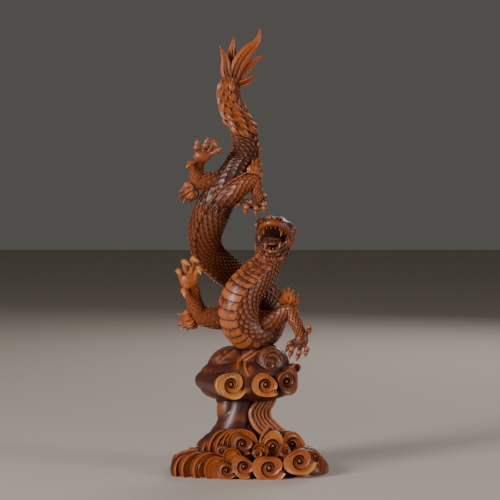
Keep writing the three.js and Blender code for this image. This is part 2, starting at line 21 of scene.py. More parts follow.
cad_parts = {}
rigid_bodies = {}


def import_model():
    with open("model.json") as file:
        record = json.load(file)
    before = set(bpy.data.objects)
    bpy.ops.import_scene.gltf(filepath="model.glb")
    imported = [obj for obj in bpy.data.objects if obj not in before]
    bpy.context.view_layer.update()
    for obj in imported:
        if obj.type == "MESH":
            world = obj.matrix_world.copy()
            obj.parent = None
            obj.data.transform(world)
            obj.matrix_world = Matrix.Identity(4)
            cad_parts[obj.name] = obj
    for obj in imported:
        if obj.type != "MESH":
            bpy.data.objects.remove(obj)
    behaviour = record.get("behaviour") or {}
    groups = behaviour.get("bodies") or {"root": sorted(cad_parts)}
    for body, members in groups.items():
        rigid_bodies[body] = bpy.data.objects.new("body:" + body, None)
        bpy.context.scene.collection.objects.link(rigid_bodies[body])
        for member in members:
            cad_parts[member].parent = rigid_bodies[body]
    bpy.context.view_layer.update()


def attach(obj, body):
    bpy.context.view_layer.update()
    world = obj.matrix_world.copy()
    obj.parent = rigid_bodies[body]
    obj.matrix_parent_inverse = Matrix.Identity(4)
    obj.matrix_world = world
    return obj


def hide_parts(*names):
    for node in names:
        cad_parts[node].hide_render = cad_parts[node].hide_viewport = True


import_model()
MM = 0.001

# %% [markdown]
# The camera stands low and far off, as one would stand to see a small statue on a table without
# bending its outline: nearly level with it, with a long lens.

# %% Camera
CAMERA_DISTANCE = 829.4
CAMERA_ELEVATION = math.radians(2)
AIM = Vector((0, 0, 104.7))

camera_data = bpy.data.cameras.new("camera")
camera_data.sensor_width = 36
camera_data.lens = 126
camera = bpy.data.objects.new("camera", camera_data)
bpy.context.scene.collection.objects.link(camera)
towards_viewer = Vector((0, -math.cos(CAMERA_ELEVATION), math.sin(CAMERA_ELEVATION)))
camera.location = (AIM + towards_viewer * CAMERA_DISTANCE) * MM
camera.rotation_euler = (-towards_viewer).to_track_quat("-Z", "Y").to_euler()
bpy.context.scene.camera = camera
print("camera at", [round(c, 3) for c in camera.location])

# %% [markdown]
# ## Tools of the bench
# A shape is a pair: its points, and its triangles as rows of three point numbers. Numpy makes many
# points at once, which keeps a coat of several thousand scales quick. Every shape is closed and faces
# outwards, because the shapes are later fused like real wood, and a boolean needs to know which side
# is wood and which is air.


# %% Closed shapes
def unit(vectors):
    length = np.linalg.norm(vectors, axis=-1, keepdims=True)
    return vectors / np.maximum(length, 1e-9)


def volume_of(points, triangles):
    a, b, c = points[triangles].transpose(1, 0, 2)
    return float(np.einsum("ij,ij->", a, np.cross(b, c))) / 6


def closed(points, triangles):
    """A shape without collapsed triangles or stray points, turned right side out."""
    points = np.asarray(points, float).reshape(-1, 3)
    triangles = np.asarray(triangles, int).reshape(-1, 3)
    a, b, c = triangles.T
    triangles = triangles[(a != b) & (b != c) & (c != a)]
    used, renumbered = np.unique(triangles, return_inverse=True)
    points, triangles = points[used], renumbered.reshape(-1, 3)
    return points, triangles if volume_of(points, triangles) > 0 else triangles[:, ::-1]


def quads(a, b, c, d):
    """Two triangles for each four-cornered face, from four arrays of point numbers."""
    return [np.stack([a, b, c], -1), np.stack([a, c, d], -1)]


def skin(rings):
    """Rings of equally many points, joined side to side and closed at both ends by a fan."""
    rings = np.asarray(rings, float)
    count, around = rings.shape[:2]
    k, i = np.meshgrid(np.arange(count - 1), np.arange(around), indexing="ij")
    a, b = k * around + i, k * around + (i + 1) % around
    sides = quads(a, b, b + around, a + around)
    i = np.arange(around)
    j = (i + 1) % around
    last = (count - 1) * around
    middles = np.full(around, count * around)
    caps = [np.stack([middles, j, i], -1), np.stack([middles + 1, last + i, last + j], -1)]
    points = np.concatenate([rings.reshape(-1, 3), rings[[0, -1]].mean(axis=1)])
    return closed(points, np.concatenate([part.reshape(-1, 3) for part in sides + caps]))


# %% [markdown]
# Nearly everything on a dragon follows a path: body, limbs, horns, flames. A route is a smooth curve
# through a few stops, a Catmull-Rom spline, with a half thickness and an "up" at each stop. It is
# measured along its own length, so that scales and plates can be spaced as evenly as a carver's
# dividers would space them.


# %% Routes
def through(stops, t, even=False):
    """Places and headings at t from 0 to 1 on the smooth curve through the stops."""
    stops = np.asarray(stops, float)
    padded = np.vstack([2 * stops[0] - stops[1], stops, 2 * stops[-1] - stops[-2]])
    spans = len(stops) - 1
    place = np.clip(np.asarray(t, float) * spans, 0, spans)
    k = np.minimum(place.astype(int), spans - 1)
    w = (place - k)[:, None]
    p0, p1, p2, p3 = (padded[k + i] for i in range(4))
    if even:
        m1, m2 = (p2 - p0) / 2, (p3 - p1) / 2
    else:
        d0, d1, d2 = (
            np.sum((b - a) ** 2, axis=1, keepdims=True) ** 0.25 for a, b in ((p0, p1), (p1, p2), (p2, p3))
        )
        m1 = ((p1 - p0) / d0 - (p2 - p0) / (d0 + d1) + (p2 - p1) / d1) * d1
        m2 = ((p2 - p1) / d1 - (p3 - p1) / (d1 + d2) + (p3 - p2) / d2) * d1
    c2 = 3 * (p2 - p1) - 2 * m1 - m2
    c3 = 2 * (p1 - p2) + m1 + m2
    return p1 + m1 * w + c2 * w**2 + c3 * w**3, m1 + 2 * c2 * w + 3 * c3 * w**2


class Route:
    """A smooth path with a half thickness and an up direction at every stop."""

    def __init__(self, stops, sizes, ups):
        self.stops = np.asarray(stops, float)
        self.sizes = np.asarray(sizes, float)[:, None]
        self.ups = np.broadcast_to(np.asarray(ups, float), self.stops.shape)
        self.t = np.linspace(0, 1, 60 * len(stops))
        places, _ = through(self.stops, self.t)
        steps = np.linalg.norm(np.diff(places, axis=0), axis=1)
        self.run = np.concatenate([[0], np.cumsum(steps)])
        self.length = self.run[-1]

    def at(self, shares):
        """Centre, along, up, across and half thickness at shares of the length."""
        t = np.interp(np.asarray(shares, float) * self.length, self.run, self.t)
        centre, heading = through(self.stops, t)
        along = unit(heading)
        up, _ = through(self.ups, t, even=True)
        up = unit(up - along * np.sum(up * along, axis=1, keepdims=True))
        size, _ = through(self.sizes, t, even=True)
        return centre, along, up, np.cross(along, up), size[:, 0]

    def surface(self, shares, angles, lift=0.0, slide=0.0):
        """Points on the skin: angle 0 is up, lift stands off it and slide moves along the route."""
        shares, angles, lift, slide = np.broadcast_arrays(shares, angles, lift, slide)
        centre, along, up, across, size = self.at(shares.ravel())
        reach = size + lift.ravel()
        rise = up * (reach * np.cos(angles.ravel()))[:, None]
        side = across * (reach * np.sin(angles.ravel()))[:, None]
        points = centre + rise + side + along * slide.ravel()[:, None]
        return points.reshape(*shares.shape, 3)


FRONT_UP = (0, -1, 0.2)


def route_of(stops, up=FRONT_UP):
    """A route from rows of x, y, z and half thickness."""
    stops = np.asarray(stops, float)
    return Route(stops[:, :3], stops[:, 3], up)


# %% [markdown]
# Three profiles cover most of the carving: a tapered round for limbs, horns and claws; a blade with
# two gouged grooves for flames and locks of hair; and an egg for lumps of muscle and cloud.


# %% Tapers, blades and lumps
TURN = 2 * math.pi


def sweep(route, shares, section):
    """section(share, size) gives a ring as arrays of rise, side and slide in millimetres."""
    centre, along, up, across, size = route.at(shares)
    rise, side, slide = np.broadcast_arrays(*section(np.asarray(shares)[:, None], size[:, None]))
    offsets = [up[:, None] * rise[..., None], across[:, None] * side[..., None]]
    return skin(centre[:, None] + sum(offsets) + along[:, None] * slide[..., None])


def taper(stops, steps=16, sides=10, wide=1.0, up=FRONT_UP):
    angles = np.arange(sides) * TURN / sides
    return sweep(
        route_of(stops, up),
        np.linspace(0, 1, steps + 1),
        lambda share, size: (size * np.cos(angles), size * wide * np.sin(angles), 0 * angles),
    )


BLADE_HALF = np.array([(1, 0), (0.8, 0.5), (0.52, 0.78), (0.3, 0.5), (0, 1)])
# one face from edge to edge, then the other face back
BLADE_BACK = BLADE_HALF[3:0:-1]
BLADE_SECTION = np.vstack([BLADE_HALF, BLADE_BACK * (-1, 1), -BLADE_HALF, BLADE_BACK * (1, -1)])


def blade(stops, width, up=(0, -1, 0), steps=10):
    """A pointed flame or lock with a ridge down its middle and a groove on either side of it."""
    route = Route(stops, [width] * len(stops), up)

    def section(share, size):
        half = size * np.maximum(0.05, np.sin(math.pi * (0.28 + 0.72 * share)))
        thick = (0.66 - 0.3 * share) * half + 0.14
        return thick * BLADE_SECTION[:, 1], half * BLADE_SECTION[:, 0], 0 * share

    return sweep(route, np.linspace(0, 1, steps + 1), section)


def lump(at, radii, around=24, down=14):
    polar = np.linspace(0, math.pi, down + 1)[1:-1, None]
    angles = np.arange(around)[None] * TURN / around
    level = np.sin(polar)
    ball = np.stack(np.broadcast_arrays(level * np.cos(angles), level * np.sin(angles), np.cos(polar)), -1)
    return skin(np.asarray(at) + ball * np.asarray(radii))


print("a blade has", len(blade([(0, 0, 0), (0, 0, 5), (1, 0, 9)], 2)[1]), "triangles")

# %% [markdown]
# The last tool fuses shapes. In real wood there is nothing inside but wood, so pieces that cross must
# become one skin. A small Geometry Nodes tree does this: Collection Info picks up every shape at once,
# and Mesh Boolean with the Manifold solver joins them all in a second or two. The same tree cuts the
# foot flat on the floor. Where crossing shapes shut in a speck of air, only the outer skin is kept.


# %% Fusing
def to_mesh(points, triangles, name):
    mesh = bpy.data.meshes.new(name)
    mesh.vertices.add(len(points))
    mesh.vertices.foreach_set("co", np.asarray(points, np.float32).ravel())
    mesh.loops.add(triangles.size)
    mesh.loops.foreach_set("vertex_index", triangles.astype(np.int32).ravel())
    mesh.polygons.add(len(triangles))
    mesh.polygons.foreach_set("loop_start", np.arange(0, triangles.size, 3, dtype=np.int32))
    mesh.update(calc_edges=True)
    return mesh


def from_mesh(mesh):
    points = np.empty(len(mesh.vertices) * 3, np.float32)
    mesh.vertices.foreach_get("co", points)
    mesh.calc_loop_triangles()
    triangles = np.empty(len(mesh.loop_triangles) * 3, np.int32)
    mesh.loop_triangles.foreach_get("vertices", triangles)
    return points.reshape(-1, 3).astype(float), triangles.reshape(-1, 3).astype(int)


def shelf_of(shapes, name):
    """A collection that holds each shape as an object."""
    shelf = bpy.data.collections.new(name)
    for points, triangles in shapes:
        shelf.objects.link(bpy.data.objects.new(name, to_mesh(points, triangles, name)))
    return shelf


def evaluated(thing):
    """The shape that an object has once its modifiers are worked out."""
    depsgraph = bpy.context.evaluated_depsgraph_get()
    mesh = bpy.data.meshes.new_from_object(thing.evaluated_get(depsgraph))
    shape = from_mesh(mesh)
    bpy.data.meshes.remove(mesh)
    return shape


def add_node(tree, kind, inputs=None, **settings):
    """Adds a node, sets it, and fills or links its inputs by name or number."""
    node = tree.nodes.new(kind)
    for name, value in settings.items():
        setattr(node, name, value)
    for name, value in (inputs or {}).items():
        socket = node.inputs[name]
        if isinstance(value, bpy.types.NodeSocket):
            tree.links.new(value, socket)
        else:
            socket.default_value = value
    return node


def fusing_tree(wood, air):
    tree = bpy.data.node_groups.new("fuse", "GeometryNodeTree")
    tree.interface.new_socket("Carving", in_out="OUTPUT", socket_type="NodeSocketGeometry")
    pick_wood, pick_air = (
        add_node(tree, "GeometryNodeCollectionInfo", {"Collection": shelf, "Separate Children": True})
        for shelf in (wood, air)
    )
    join = add_node(
        tree,
        "GeometryNodeMeshBoolean",
        {"Mesh 2": pick_wood.outputs["Instances"]},
        operation="UNION",
        solver="MANIFOLD",
    )
    cut = add_node(
        tree,
        "GeometryNodeMeshBoolean",
        {"Mesh 1": join.outputs["Mesh"], "Mesh 2": pick_air.outputs["Instances"]},
        operation="DIFFERENCE",
        solver="MANIFOLD",
    )
    result = cut if len(air.objects) else join
    add_node(tree, "NodeGroupOutput", {"Carving": result.outputs["Mesh"]})
    return tree


def fused(shapes, cutters=(), name="fused"):
    wood, air = shelf_of(shapes, "wood"), shelf_of(cutters, "air")
    host = bpy.data.objects.new(name, bpy.data.meshes.new(name))
    bpy.context.scene.collection.objects.link(host)
    host.modifiers.new("fuse", "NODES").node_group = fusing_tree(wood, air)
    shape = evaluated(host)
    for thing in [host, *wood.objects, *air.objects]:
        bpy.data.meshes.remove(thing.data)
    bpy.data.collections.remove(wood)
    bpy.data.collections.remove(air)
    return outer_skin(*shape)


def outer_skin(points, triangles):
    """Keeps the largest connected skin of a shape."""
    label = np.arange(len(points))
    while True:
        lowest = label[triangles].min(axis=1)
        before = label.copy()
        for corner in triangles.T:
            np.minimum.at(label, corner, lowest)
        label = label[label]
        if np.array_equal(label, before):
            break
    owners = label[triangles[:, 0]]
    volumes = {owner: volume_of(points, triangles[owners == owner]) for owner in np.unique(owners)}
    largest = max(volumes, key=volumes.get)
    kept, specks = volumes[largest] / 1000, sum(volumes.values()) - volumes[largest]
    print(f"kept one skin of {kept:.2f} cm3, dropped {len(volumes) - 1} of {specks:.1f} mm3")
    return closed(points, triangles[owners == largest])


def softened(shape, grain, rounds, keep):
    """Melts a fused shape to one even skin, as sanding does, and thins it to a share of its faces."""
    thing = bpy.data.objects.new("soft", to_mesh(*shape, "soft"))
    bpy.context.scene.collection.objects.link(thing)
    remesh = thing.modifiers.new("even", "REMESH")
    remesh.mode = "VOXEL"
    remesh.voxel_size = grain
    smooth = thing.modifiers.new("sand", "SMOOTH")
    smooth.factor = 0.5
    smooth.iterations = rounds
    thin = thing.modifiers.new("thin", "DECIMATE")
    thin.ratio = keep
    shape = evaluated(thing)
    bpy.data.meshes.remove(thing.data)
    return closed(*shape)


# %% [markdown]
# ## The body
# The spine runs from the skull back to the tail. Each stop gives its place, its half thickness and the
# way the crest points there; the places are the same as the solid's, so the dressed body lies where the
# plain one does. On the chest the crest is turned back to the right, which brings the belly plates to the
# left of the chest and leaves flat scales on its right.

# %% Spine
SPINE = [
    ((11, -4.5, 109), 6.2, (0, 0.8, 0.6)),
    ((10.2, -8, 104), 6.4, (0.2, 0.93, 0.3)),
    ((7.6, -9, 98.5), 6.6, (0.5, 0.85, 0.2)),
    ((2.8, -10, 92.6), 7.7, (0.68, 0.7, 0.3)),
    ((-2.6, -11, 86), 8.5, (0.72, 0.7, 0.1)),
    ((-5.5, -10, 78), 8.9, (0.72, 0.7, 0)),
    ((-4.5, -7, 71), 9.0, (0.6, 0.64, 0.5)),
    ((1, -2, 65.5), 8.8, (-0.1, 0.2, 0.95)),
    ((7.5, 5, 68.5), 8.5, (-0.4, -0.5, 0.75)),
    ((9, 10.5, 76), 8.1, (-0.5, -0.8, 0.2)),
    ((6, 12, 83), 7.6, (-0.3, -0.9, -0.1)),
    ((-1, 11, 88), 7.1, (-0.2, -0.9, -0.3)),
    ((-9, 9, 92.5), 6.9, (-0.35, -0.75, -0.55)),
    ((-16, 6, 98.5), 6.9, (-0.5, -0.65, -0.6)),
    ((-20.5, 3, 104.5), 7.1, (-0.6, -0.7, -0.3)),
    ((-21.5, 0, 111.5), 7.6, (-0.5, -0.85, 0)),
    ((-19.5, -2, 119), 8.3, (-0.45, -0.9, 0)),
    ((-15.5, -3, 127.5), 8.1, (-0.25, -0.95, 0.1)),
    ((-10.5, -2, 135.5), 7.6, (0.05, -1, 0)),
    ((-5.5, 0, 142.5), 7.3, (0.6, -0.8, 0)),
    ((-3, 1, 148.5), 6.6, (0.95, -0.3, 0)),
    ((-2, 0, 155), 5.9, (0.85, -0.5, 0)),
    ((-4, -1, 162.5), 5.5, (0, -1, 0)),
    ((-7, -1, 170), 5.2, (-0.85, -0.5, 0)),
    ((-9.5, 0, 178), 4.5, (-0.85, -0.5, 0)),
    ((-9, 0, 186), 3.8, (-0.8, -0.6, 0)),
]
spine = Route(*zip(*SPINE))
HIPS = 0.66
print(f"the spine is {spine.length:.0f} mm long, with the hips at {HIPS * spine.length:.0f} mm")

# %% [markdown]
# Scales could be copied one by one over the skin, but thousands of loose chips would have to be fused
# afterwards. A carver doesn't add scales either: two sets of slanting cuts leave diamonds, and each
# diamond is pared down at its root so that the tip of the one before it stands proud. The coat below is
# that, as one closed skin: a net of diamonds whose corners have three heights, root, flank and tip, and
# a small wall wherever a tip overhangs the next root. First the net alone, which point is joined to
# which, because it is the same for body, tail and limbs.


# %% The net of scales
class ScaleNet:
    """Which point has which number: corners by row, then middles of tip edges, scales' centres and ends."""

    def __init__(self, rows, around):
        self.rows, self.around = rows, around
        self.first_middle = 3 * (rows + 1) * around
        self.first_centre = self.first_middle + 4 * rows * around
        self.first_end = self.first_centre + (rows - 1) * around

    def corner(self, row, number, level):
        """A diamond's corner at level 0, 1 or 2; the coat's two ends have level 0 alone."""
        level = np.where((row <= 0) | (row >= self.rows), 0, level)
        return 3 * (row * self.around + number % self.around) + level

    def middle(self, row, number, side, high):
        """The middle of a scale's left or right tip edge, low or high."""
        return self.first_middle + 4 * ((row + 1) * self.around + number % self.around) + 2 * side + high

    def scales(self, first, past):
        """The scales that start on some rows: row, number of the tip, and of the left and right flank."""
        row, top = np.meshgrid(np.arange(first, past), np.arange(self.around), indexing="ij")
        left = top - 1 + row % 2
        return row.ravel(), top.ravel(), left.ravel(), left.ravel() + 1


def scale_faces(net):
    corner, middle = net.corner, net.middle
    # the face of each whole scale: four patches round its crown
    row, top, left, right = net.scales(0, net.rows - 1)
    root, tip = corner(row, top, 0), corner(row + 2, top, 2)
    left_flank, right_flank = corner(row + 1, left, 1), corner(row + 1, right, 1)
    root_left, root_right = middle(row - 1, left, 1, 0), middle(row - 1, right, 0, 0)
    tip_left, tip_right = middle(row, top, 0, 1), middle(row, top, 1, 1)
    centre = net.first_centre + row * net.around + top
    faces = quads(root, root_left, centre, root_right)
    faces += quads(root_left, left_flank, tip_left, centre)
    faces += quads(centre, tip_left, tip, tip_right)
    faces += quads(root_right, centre, tip_right, right_flank)
    # the wall under each tip edge, which is wound the other way on the other side
    row, top, left, right = net.scales(-1, net.rows - 1)
    high_tip, low_tip = corner(row + 2, top, 2), corner(row + 2, top, 1)
    for side, flank in ((0, left), (1, right)):
        high_flank, low_flank = corner(row + 1, flank, 1), corner(row + 1, flank, 0)
        high_middle, low_middle = middle(row, top, side, 1), middle(row, top, side, 0)
        if side:
            faces += quads(high_flank, high_middle, low_middle, low_flank)
            faces += quads(high_middle, high_tip, low_tip, low_middle)
        else:
            faces += quads(high_middle, high_flank, low_flank, low_middle)
            faces += quads(high_tip, high_middle, low_middle, low_tip)
    # half scales and a fan at either end
    row, top, left, right = net.scales(-1, 0)
    a, b, c = corner(row + 1, left, 1), corner(row + 2, top, 2), corner(row + 1, right, 1)
    a_b, b_c = middle(row, top, 0, 1), middle(row, top, 1, 1)
    end = np.full_like(a, net.first_end)
    faces += [np.stack(f, -1) for f in ((a, a_b, b), (a, b, b_c), (a, b_c, c), (end, a, c))]
    row, top, left, right = net.scales(net.rows - 1, net.rows)
    a, b, c = corner(row, top, 0), corner(row + 1, left, 1), corner(row + 1, right, 1)
    a_b, a_c = middle(row - 1, left, 1, 0), middle(row - 1, right, 0, 0)
    faces += [np.stack(f, -1) for f in ((a, a_b, b), (a, b, c), (a, c, a_c), (c, b, end + 1))]
    return np.concatenate(faces)


# %% [markdown]
# The places of those points follow the route. Rows are counted along it in steps of the local scale, and
# every second row is turned by half a scale. The tip edges are bowed a little past their row, which
# makes the tips round.


# %% Coat of scales
# the middle of a tip edge, low: rows past the scale's root, steps to its side, and height
EDGE_ROW, EDGE_SIDE, EDGE_HEIGHT = 1.66, 0.34, 0.3
CENTRE_ROW = 1.15


def coat(route, start, end, around, depth, length=0.8, sunk=0.45, crown=lambda share: -0.3):
    """One skin of overlapping scales along a route.

    length is a row's step as a share of a scale's width, and crown gives the height of a scale's middle
    over its mean height, so that a scale is dished where it is negative.
    """
    fine = np.linspace(start, end, 500)
    width = TURN * route.at(fine)[4] / around
    steps = np.diff(fine) * route.length / (length * (width[1:] + width[:-1]) / 2)
    count = np.concatenate([[0], np.cumsum(steps)])
    rows = int(round(count[-1]))
    slant = TURN / around

    def place(row, number, height):
        share = np.interp(np.clip(row, 0, rows) * count[-1] / rows, count, fine)
        return route.surface(share, number * slant, height * depth - sunk * depth)

    # corners: three heights each
    row, number, level = np.meshgrid(np.arange(rows + 1), np.arange(around), np.arange(3), indexing="ij")
    corners = place(row, number + 0.5 * (row % 2), level / 2)
    # the middles of the tip edges, low and high
    row, number, side, high = np.meshgrid(
        np.arange(-1, rows - 1), np.arange(around), np.arange(2), np.arange(2), indexing="ij"
    )
    aside = number + 0.5 * (row % 2) + EDGE_SIDE * (2 * side - 1)
    middles = place(row + EDGE_ROW, aside, EDGE_HEIGHT + high / 2)
    # the centre of each whole scale
    row, number = np.meshgrid(np.arange(rows - 1), np.arange(around), indexing="ij")
    crowns = crown(start + (end - start) * (row + 1) / rows)
    centres = place(row + CENTRE_ROW, number + 0.5 * (row % 2), 0.5 + crowns)
    ends = route.at([start, end])[0]
    points = np.concatenate([part.reshape(-1, 3) for part in (corners, middles, centres, ends)])
    return closed(points, scale_faces(ScaleNet(rows, around)))


BODY_SCALE_DEPTH = 1.0
CHEST_END = 0.3


def body_crown(share):
    """Flat scales on neck and chest, then dished ones with raised rims."""
    return np.interp(share, (CHEST_END - 0.06, CHEST_END + 0.06), (0.1, -0.34))


neck_and_coil = coat(spine, 0, HIPS + 0.02, 20, BODY_SCALE_DEPTH, crown=body_crown)
tail = coat(spine, HIPS, 1, 15, BODY_SCALE_DEPTH * 0.9)
# the inner side of the lowest bend is too tight for a knife, so a web of plain wood stays there
web = lump((2.2, -0.3, 74.4), (2.4, 2.4, 2.4), 16, 10)
print("scales on the body:", len(neck_and_coil[1]) // 16 + len(tail[1]) // 16)

# %% [markdown]
# Near its end the tail is feathered: along its crest the scales grow out into long locks that lie one
# over another with their tips towards the hips. Each is a blade whose root is on the skin.

# %% Tail locks
LOCK_ROWS = 9
LOCK_LENGTH = 6
LOCK_WIDTH = 1.7
FEATHER_START, FEATHER_END = 0.99, 0.885
# turns from the crest, in radians, of the locks of an even and of an odd row
LOCK_TURNS = ((-0.18, 0.48, 1.1), (-0.5, 0.15, 0.8))

tail_locks = []
for row, share in enumerate(np.linspace(FEATHER_START, FEATHER_END, LOCK_ROWS)):
    root = spine.at([share])[0][0]
    steps = share - np.array([0, 0.5, 1]) * LOCK_LENGTH / spine.length
    for turn in LOCK_TURNS[row % 2]:
        # a lock spreads a little, and stands off the skin at its middle and tip
        stops = spine.surface(steps, turn * np.array([1, 1.1, 1.25]), np.array([-0.2, 1.2, 0.8]))
        tail_locks.append(blade(stops, LOCK_WIDTH, stops[0] - root, steps=5))
print("locks on the tail:", len(tail_locks))

# %% [markdown]
# Under the body run broad belly plates, each overlapping the next like roof tiles laid towards the tail.
# They are one swept band. Its height goes up slowly and drops at each plate's edge, a saw-tooth, and
# the edges bow back in the middle. The band's underside is sunk in the body, where nobody sees it.

# %% Belly plates
PLATE_PITCH = 3.0
# along one plate: how far on, and how far it stands off the body; the last is the cut before the next
PLATE_PROFILE = ((0.03, 0.42), (0.45, 0.64), (0.88, 0.7), (0.97, 0.08))
BELLY_HALF_ANGLE = math.radians(50)
PLATE_BOW = 1.5
PLATE_EDGE_FALL = 0.9
BAND_SUNK = 2.0


def belly_band(route, pitch):
    plates = int(route.length / pitch)
    across = np.linspace(-1, 1, 13)
    angles = math.pi + across * BELLY_HALF_ANGLE
    bow = PLATE_BOW * (1 - across**2)
    edge_fall = np.where(np.abs(across) == 1, -PLATE_EDGE_FALL, 0)
    rings = []
    for plate in range(plates):
        for part, lift in PLATE_PROFILE:
            share = (plate + part) / plates
            top = route.surface(share, angles, lift + edge_fall, bow)
            under = route.surface(share, angles, -BAND_SUNK, bow)
            rings.append(np.concatenate([top, under[::-2]]))
    return skin(rings)


belly = belly_band(spine, PLATE_PITCH)
print("belly plates:", int(spine.length / PLATE_PITCH), "with", len(belly[1]), "triangles")

# %% [markdown]
# Along the back stands a crest of hooked fins, all alike but for their size. What repeats along a path
# is work for Geometry Nodes: the back line is a bare polyline that carries its own up direction and
# size, Resample Curve spaces points on it, and Instance on Points sets one fin on each, turned to lean
# towards the tail. Realize Instances makes them real, so that they can be fused with the body.


# %% Crest fins
def fin():
    """One hooked fin: it rises along +Z, leans towards +X, and is about a millimetre thick."""
    # along x, up z and half thickness: the front edge rises in an arc, and the back edge hooks under the tip
    front = [(-1.7, -1.2, 0.3), (-1.5, 0, 0.62), (-0.7, 0.75, 0.56), (0.55, 1.45, 0.42), (2.1, 2, 0.12)]
    back = [(1.75, -1.2, 0.3), (1.6, 0, 0.62), (1.25, 0.45, 0.5), (1.2, 0.95, 0.36), (2.15, 1.96, 0.1)]
    rings = []
    for (x0, z0, half0), (x1, z1, half1) in zip(front, back):
        x, z, half = (x0 + x1) / 2, (z0 + z1) / 2, (half0 + half1) / 2
        rings.append([(x0, 0, z0), (x, half, z), (x1, 0, z1), (x, -half, z)])
    return skin(rings)


def crest_tree():
    """Fins along a polyline; its inputs are named for the modifier panel."""
    tree = bpy.data.node_groups.new("crest", "GeometryNodeTree")
    tree.interface.new_socket("Back line", in_out="INPUT", socket_type="NodeSocketGeometry")
    tree.interface.new_socket("Spacing", in_out="INPUT", socket_type="NodeSocketFloat")
    tree.interface.new_socket("Fin", in_out="INPUT", socket_type="NodeSocketObject")
    tree.interface.new_socket("Material", in_out="INPUT", socket_type="NodeSocketMaterial")
    tree.interface.new_socket("Fins", in_out="OUTPUT", socket_type="NodeSocketGeometry")
    given = add_node(tree, "NodeGroupInput")
    line = add_node(tree, "GeometryNodeMeshToCurve", {"Mesh": given.outputs["Back line"]})
    spaced = add_node(
        tree,
        "GeometryNodeResampleCurve",
        {"Curve": line.outputs["Curve"], "Length": given.outputs["Spacing"]},
        mode="LENGTH",
    )
    up = add_node(tree, "GeometryNodeInputNamedAttribute", {"Name": "up"}, data_type="FLOAT_VECTOR")
    size = add_node(tree, "GeometryNodeInputNamedAttribute", {"Name": "size"}, data_type="FLOAT")
    tangent = add_node(tree, "GeometryNodeInputTangent")
    stand = add_node(
        tree, "FunctionNodeAlignRotationToVector", {"Vector": up.outputs["Attribute"]}, axis="Z"
    )
    lean = add_node(
        tree,
        "FunctionNodeAlignRotationToVector",
        {"Rotation": stand.outputs["Rotation"], "Vector": tangent.outputs["Tangent"]},
        axis="X",
        pivot_axis="Z",
    )
    one_fin = add_node(tree, "GeometryNodeObjectInfo", {"Object": given.outputs["Fin"]})
    fins = add_node(
        tree,
        "GeometryNodeInstanceOnPoints",
        {
            "Points": spaced.outputs["Curve"],
            "Instance": one_fin.outputs["Geometry"],
            "Rotation": lean.outputs["Rotation"],
            "Scale": size.outputs["Attribute"],
        },
    )
    real = add_node(tree, "GeometryNodeRealizeInstances", {"Geometry": fins.outputs["Instances"]})
    finish = add_node(
        tree,
        "GeometryNodeSetMaterial",
        {"Geometry": real.outputs["Geometry"], "Material": given.outputs["Material"]},
    )
    add_node(tree, "NodeGroupOutput", {"Fins": finish.outputs["Geometry"]})
    return tree


def set_inputs(modifier, values):
    """Sets a Geometry Nodes modifier's inputs by name, through each socket's identifier."""
    for item in modifier.node_group.interface.items_tree:
        if item.item_type == "SOCKET" and item.in_out == "INPUT" and item.name in values:
            modifier[item.identifier] = values[item.name]


def crest(route, spacing, start, end):
    shares = np.linspace(start, end, 300)
    back = route.surface(shares, 0.0, 0.1)
    _, _, up, _, half = route.at(shares)
    line = bpy.data.meshes.new("back line")
    line.from_pydata(back.tolist(), [(i, i + 1) for i in range(len(back) - 1)], [])
    line.attributes.new("up", "FLOAT_VECTOR", "POINT").data.foreach_set("vector", up.ravel())
    line.attributes.new("size", "FLOAT", "POINT").data.foreach_set("value", 0.62 + 0.05 * half)
    host = bpy.data.objects.new("crest", line)
    bpy.context.scene.collection.objects.link(host)
    one_fin = bpy.data.objects.new("fin", to_mesh(*fin(), "fin"))
    modifier = host.modifiers.new("crest", "NODES")
    modifier.node_group = crest_tree()
    set_inputs(modifier, {"Spacing": spacing, "Fin": one_fin})
    points, triangles = evaluated(host)
    bpy.data.meshes.remove(host.data)
    faces_each = len(one_fin.data.polygons)
    copies = points.reshape(-1, len(one_fin.data.vertices), 3)
    return [closed(copy, triangles[:faces_each]) for copy in copies]


FIN_SPACING = 3.1
CREST_START, CREST_END = 0.06, 0.985
fins = crest(spine, FIN_SPACING, CREST_START, CREST_END)
print("crest fins:", len(fins))

# %% [markdown]
# ## Limbs, hands and tufts
# Each limb is a short muscular arm or leg with a coat of its own scales, a hand with five digits, and
# a tuft of flames at the elbow or knee. The bones, palms, digits and tufts below are the solid's.

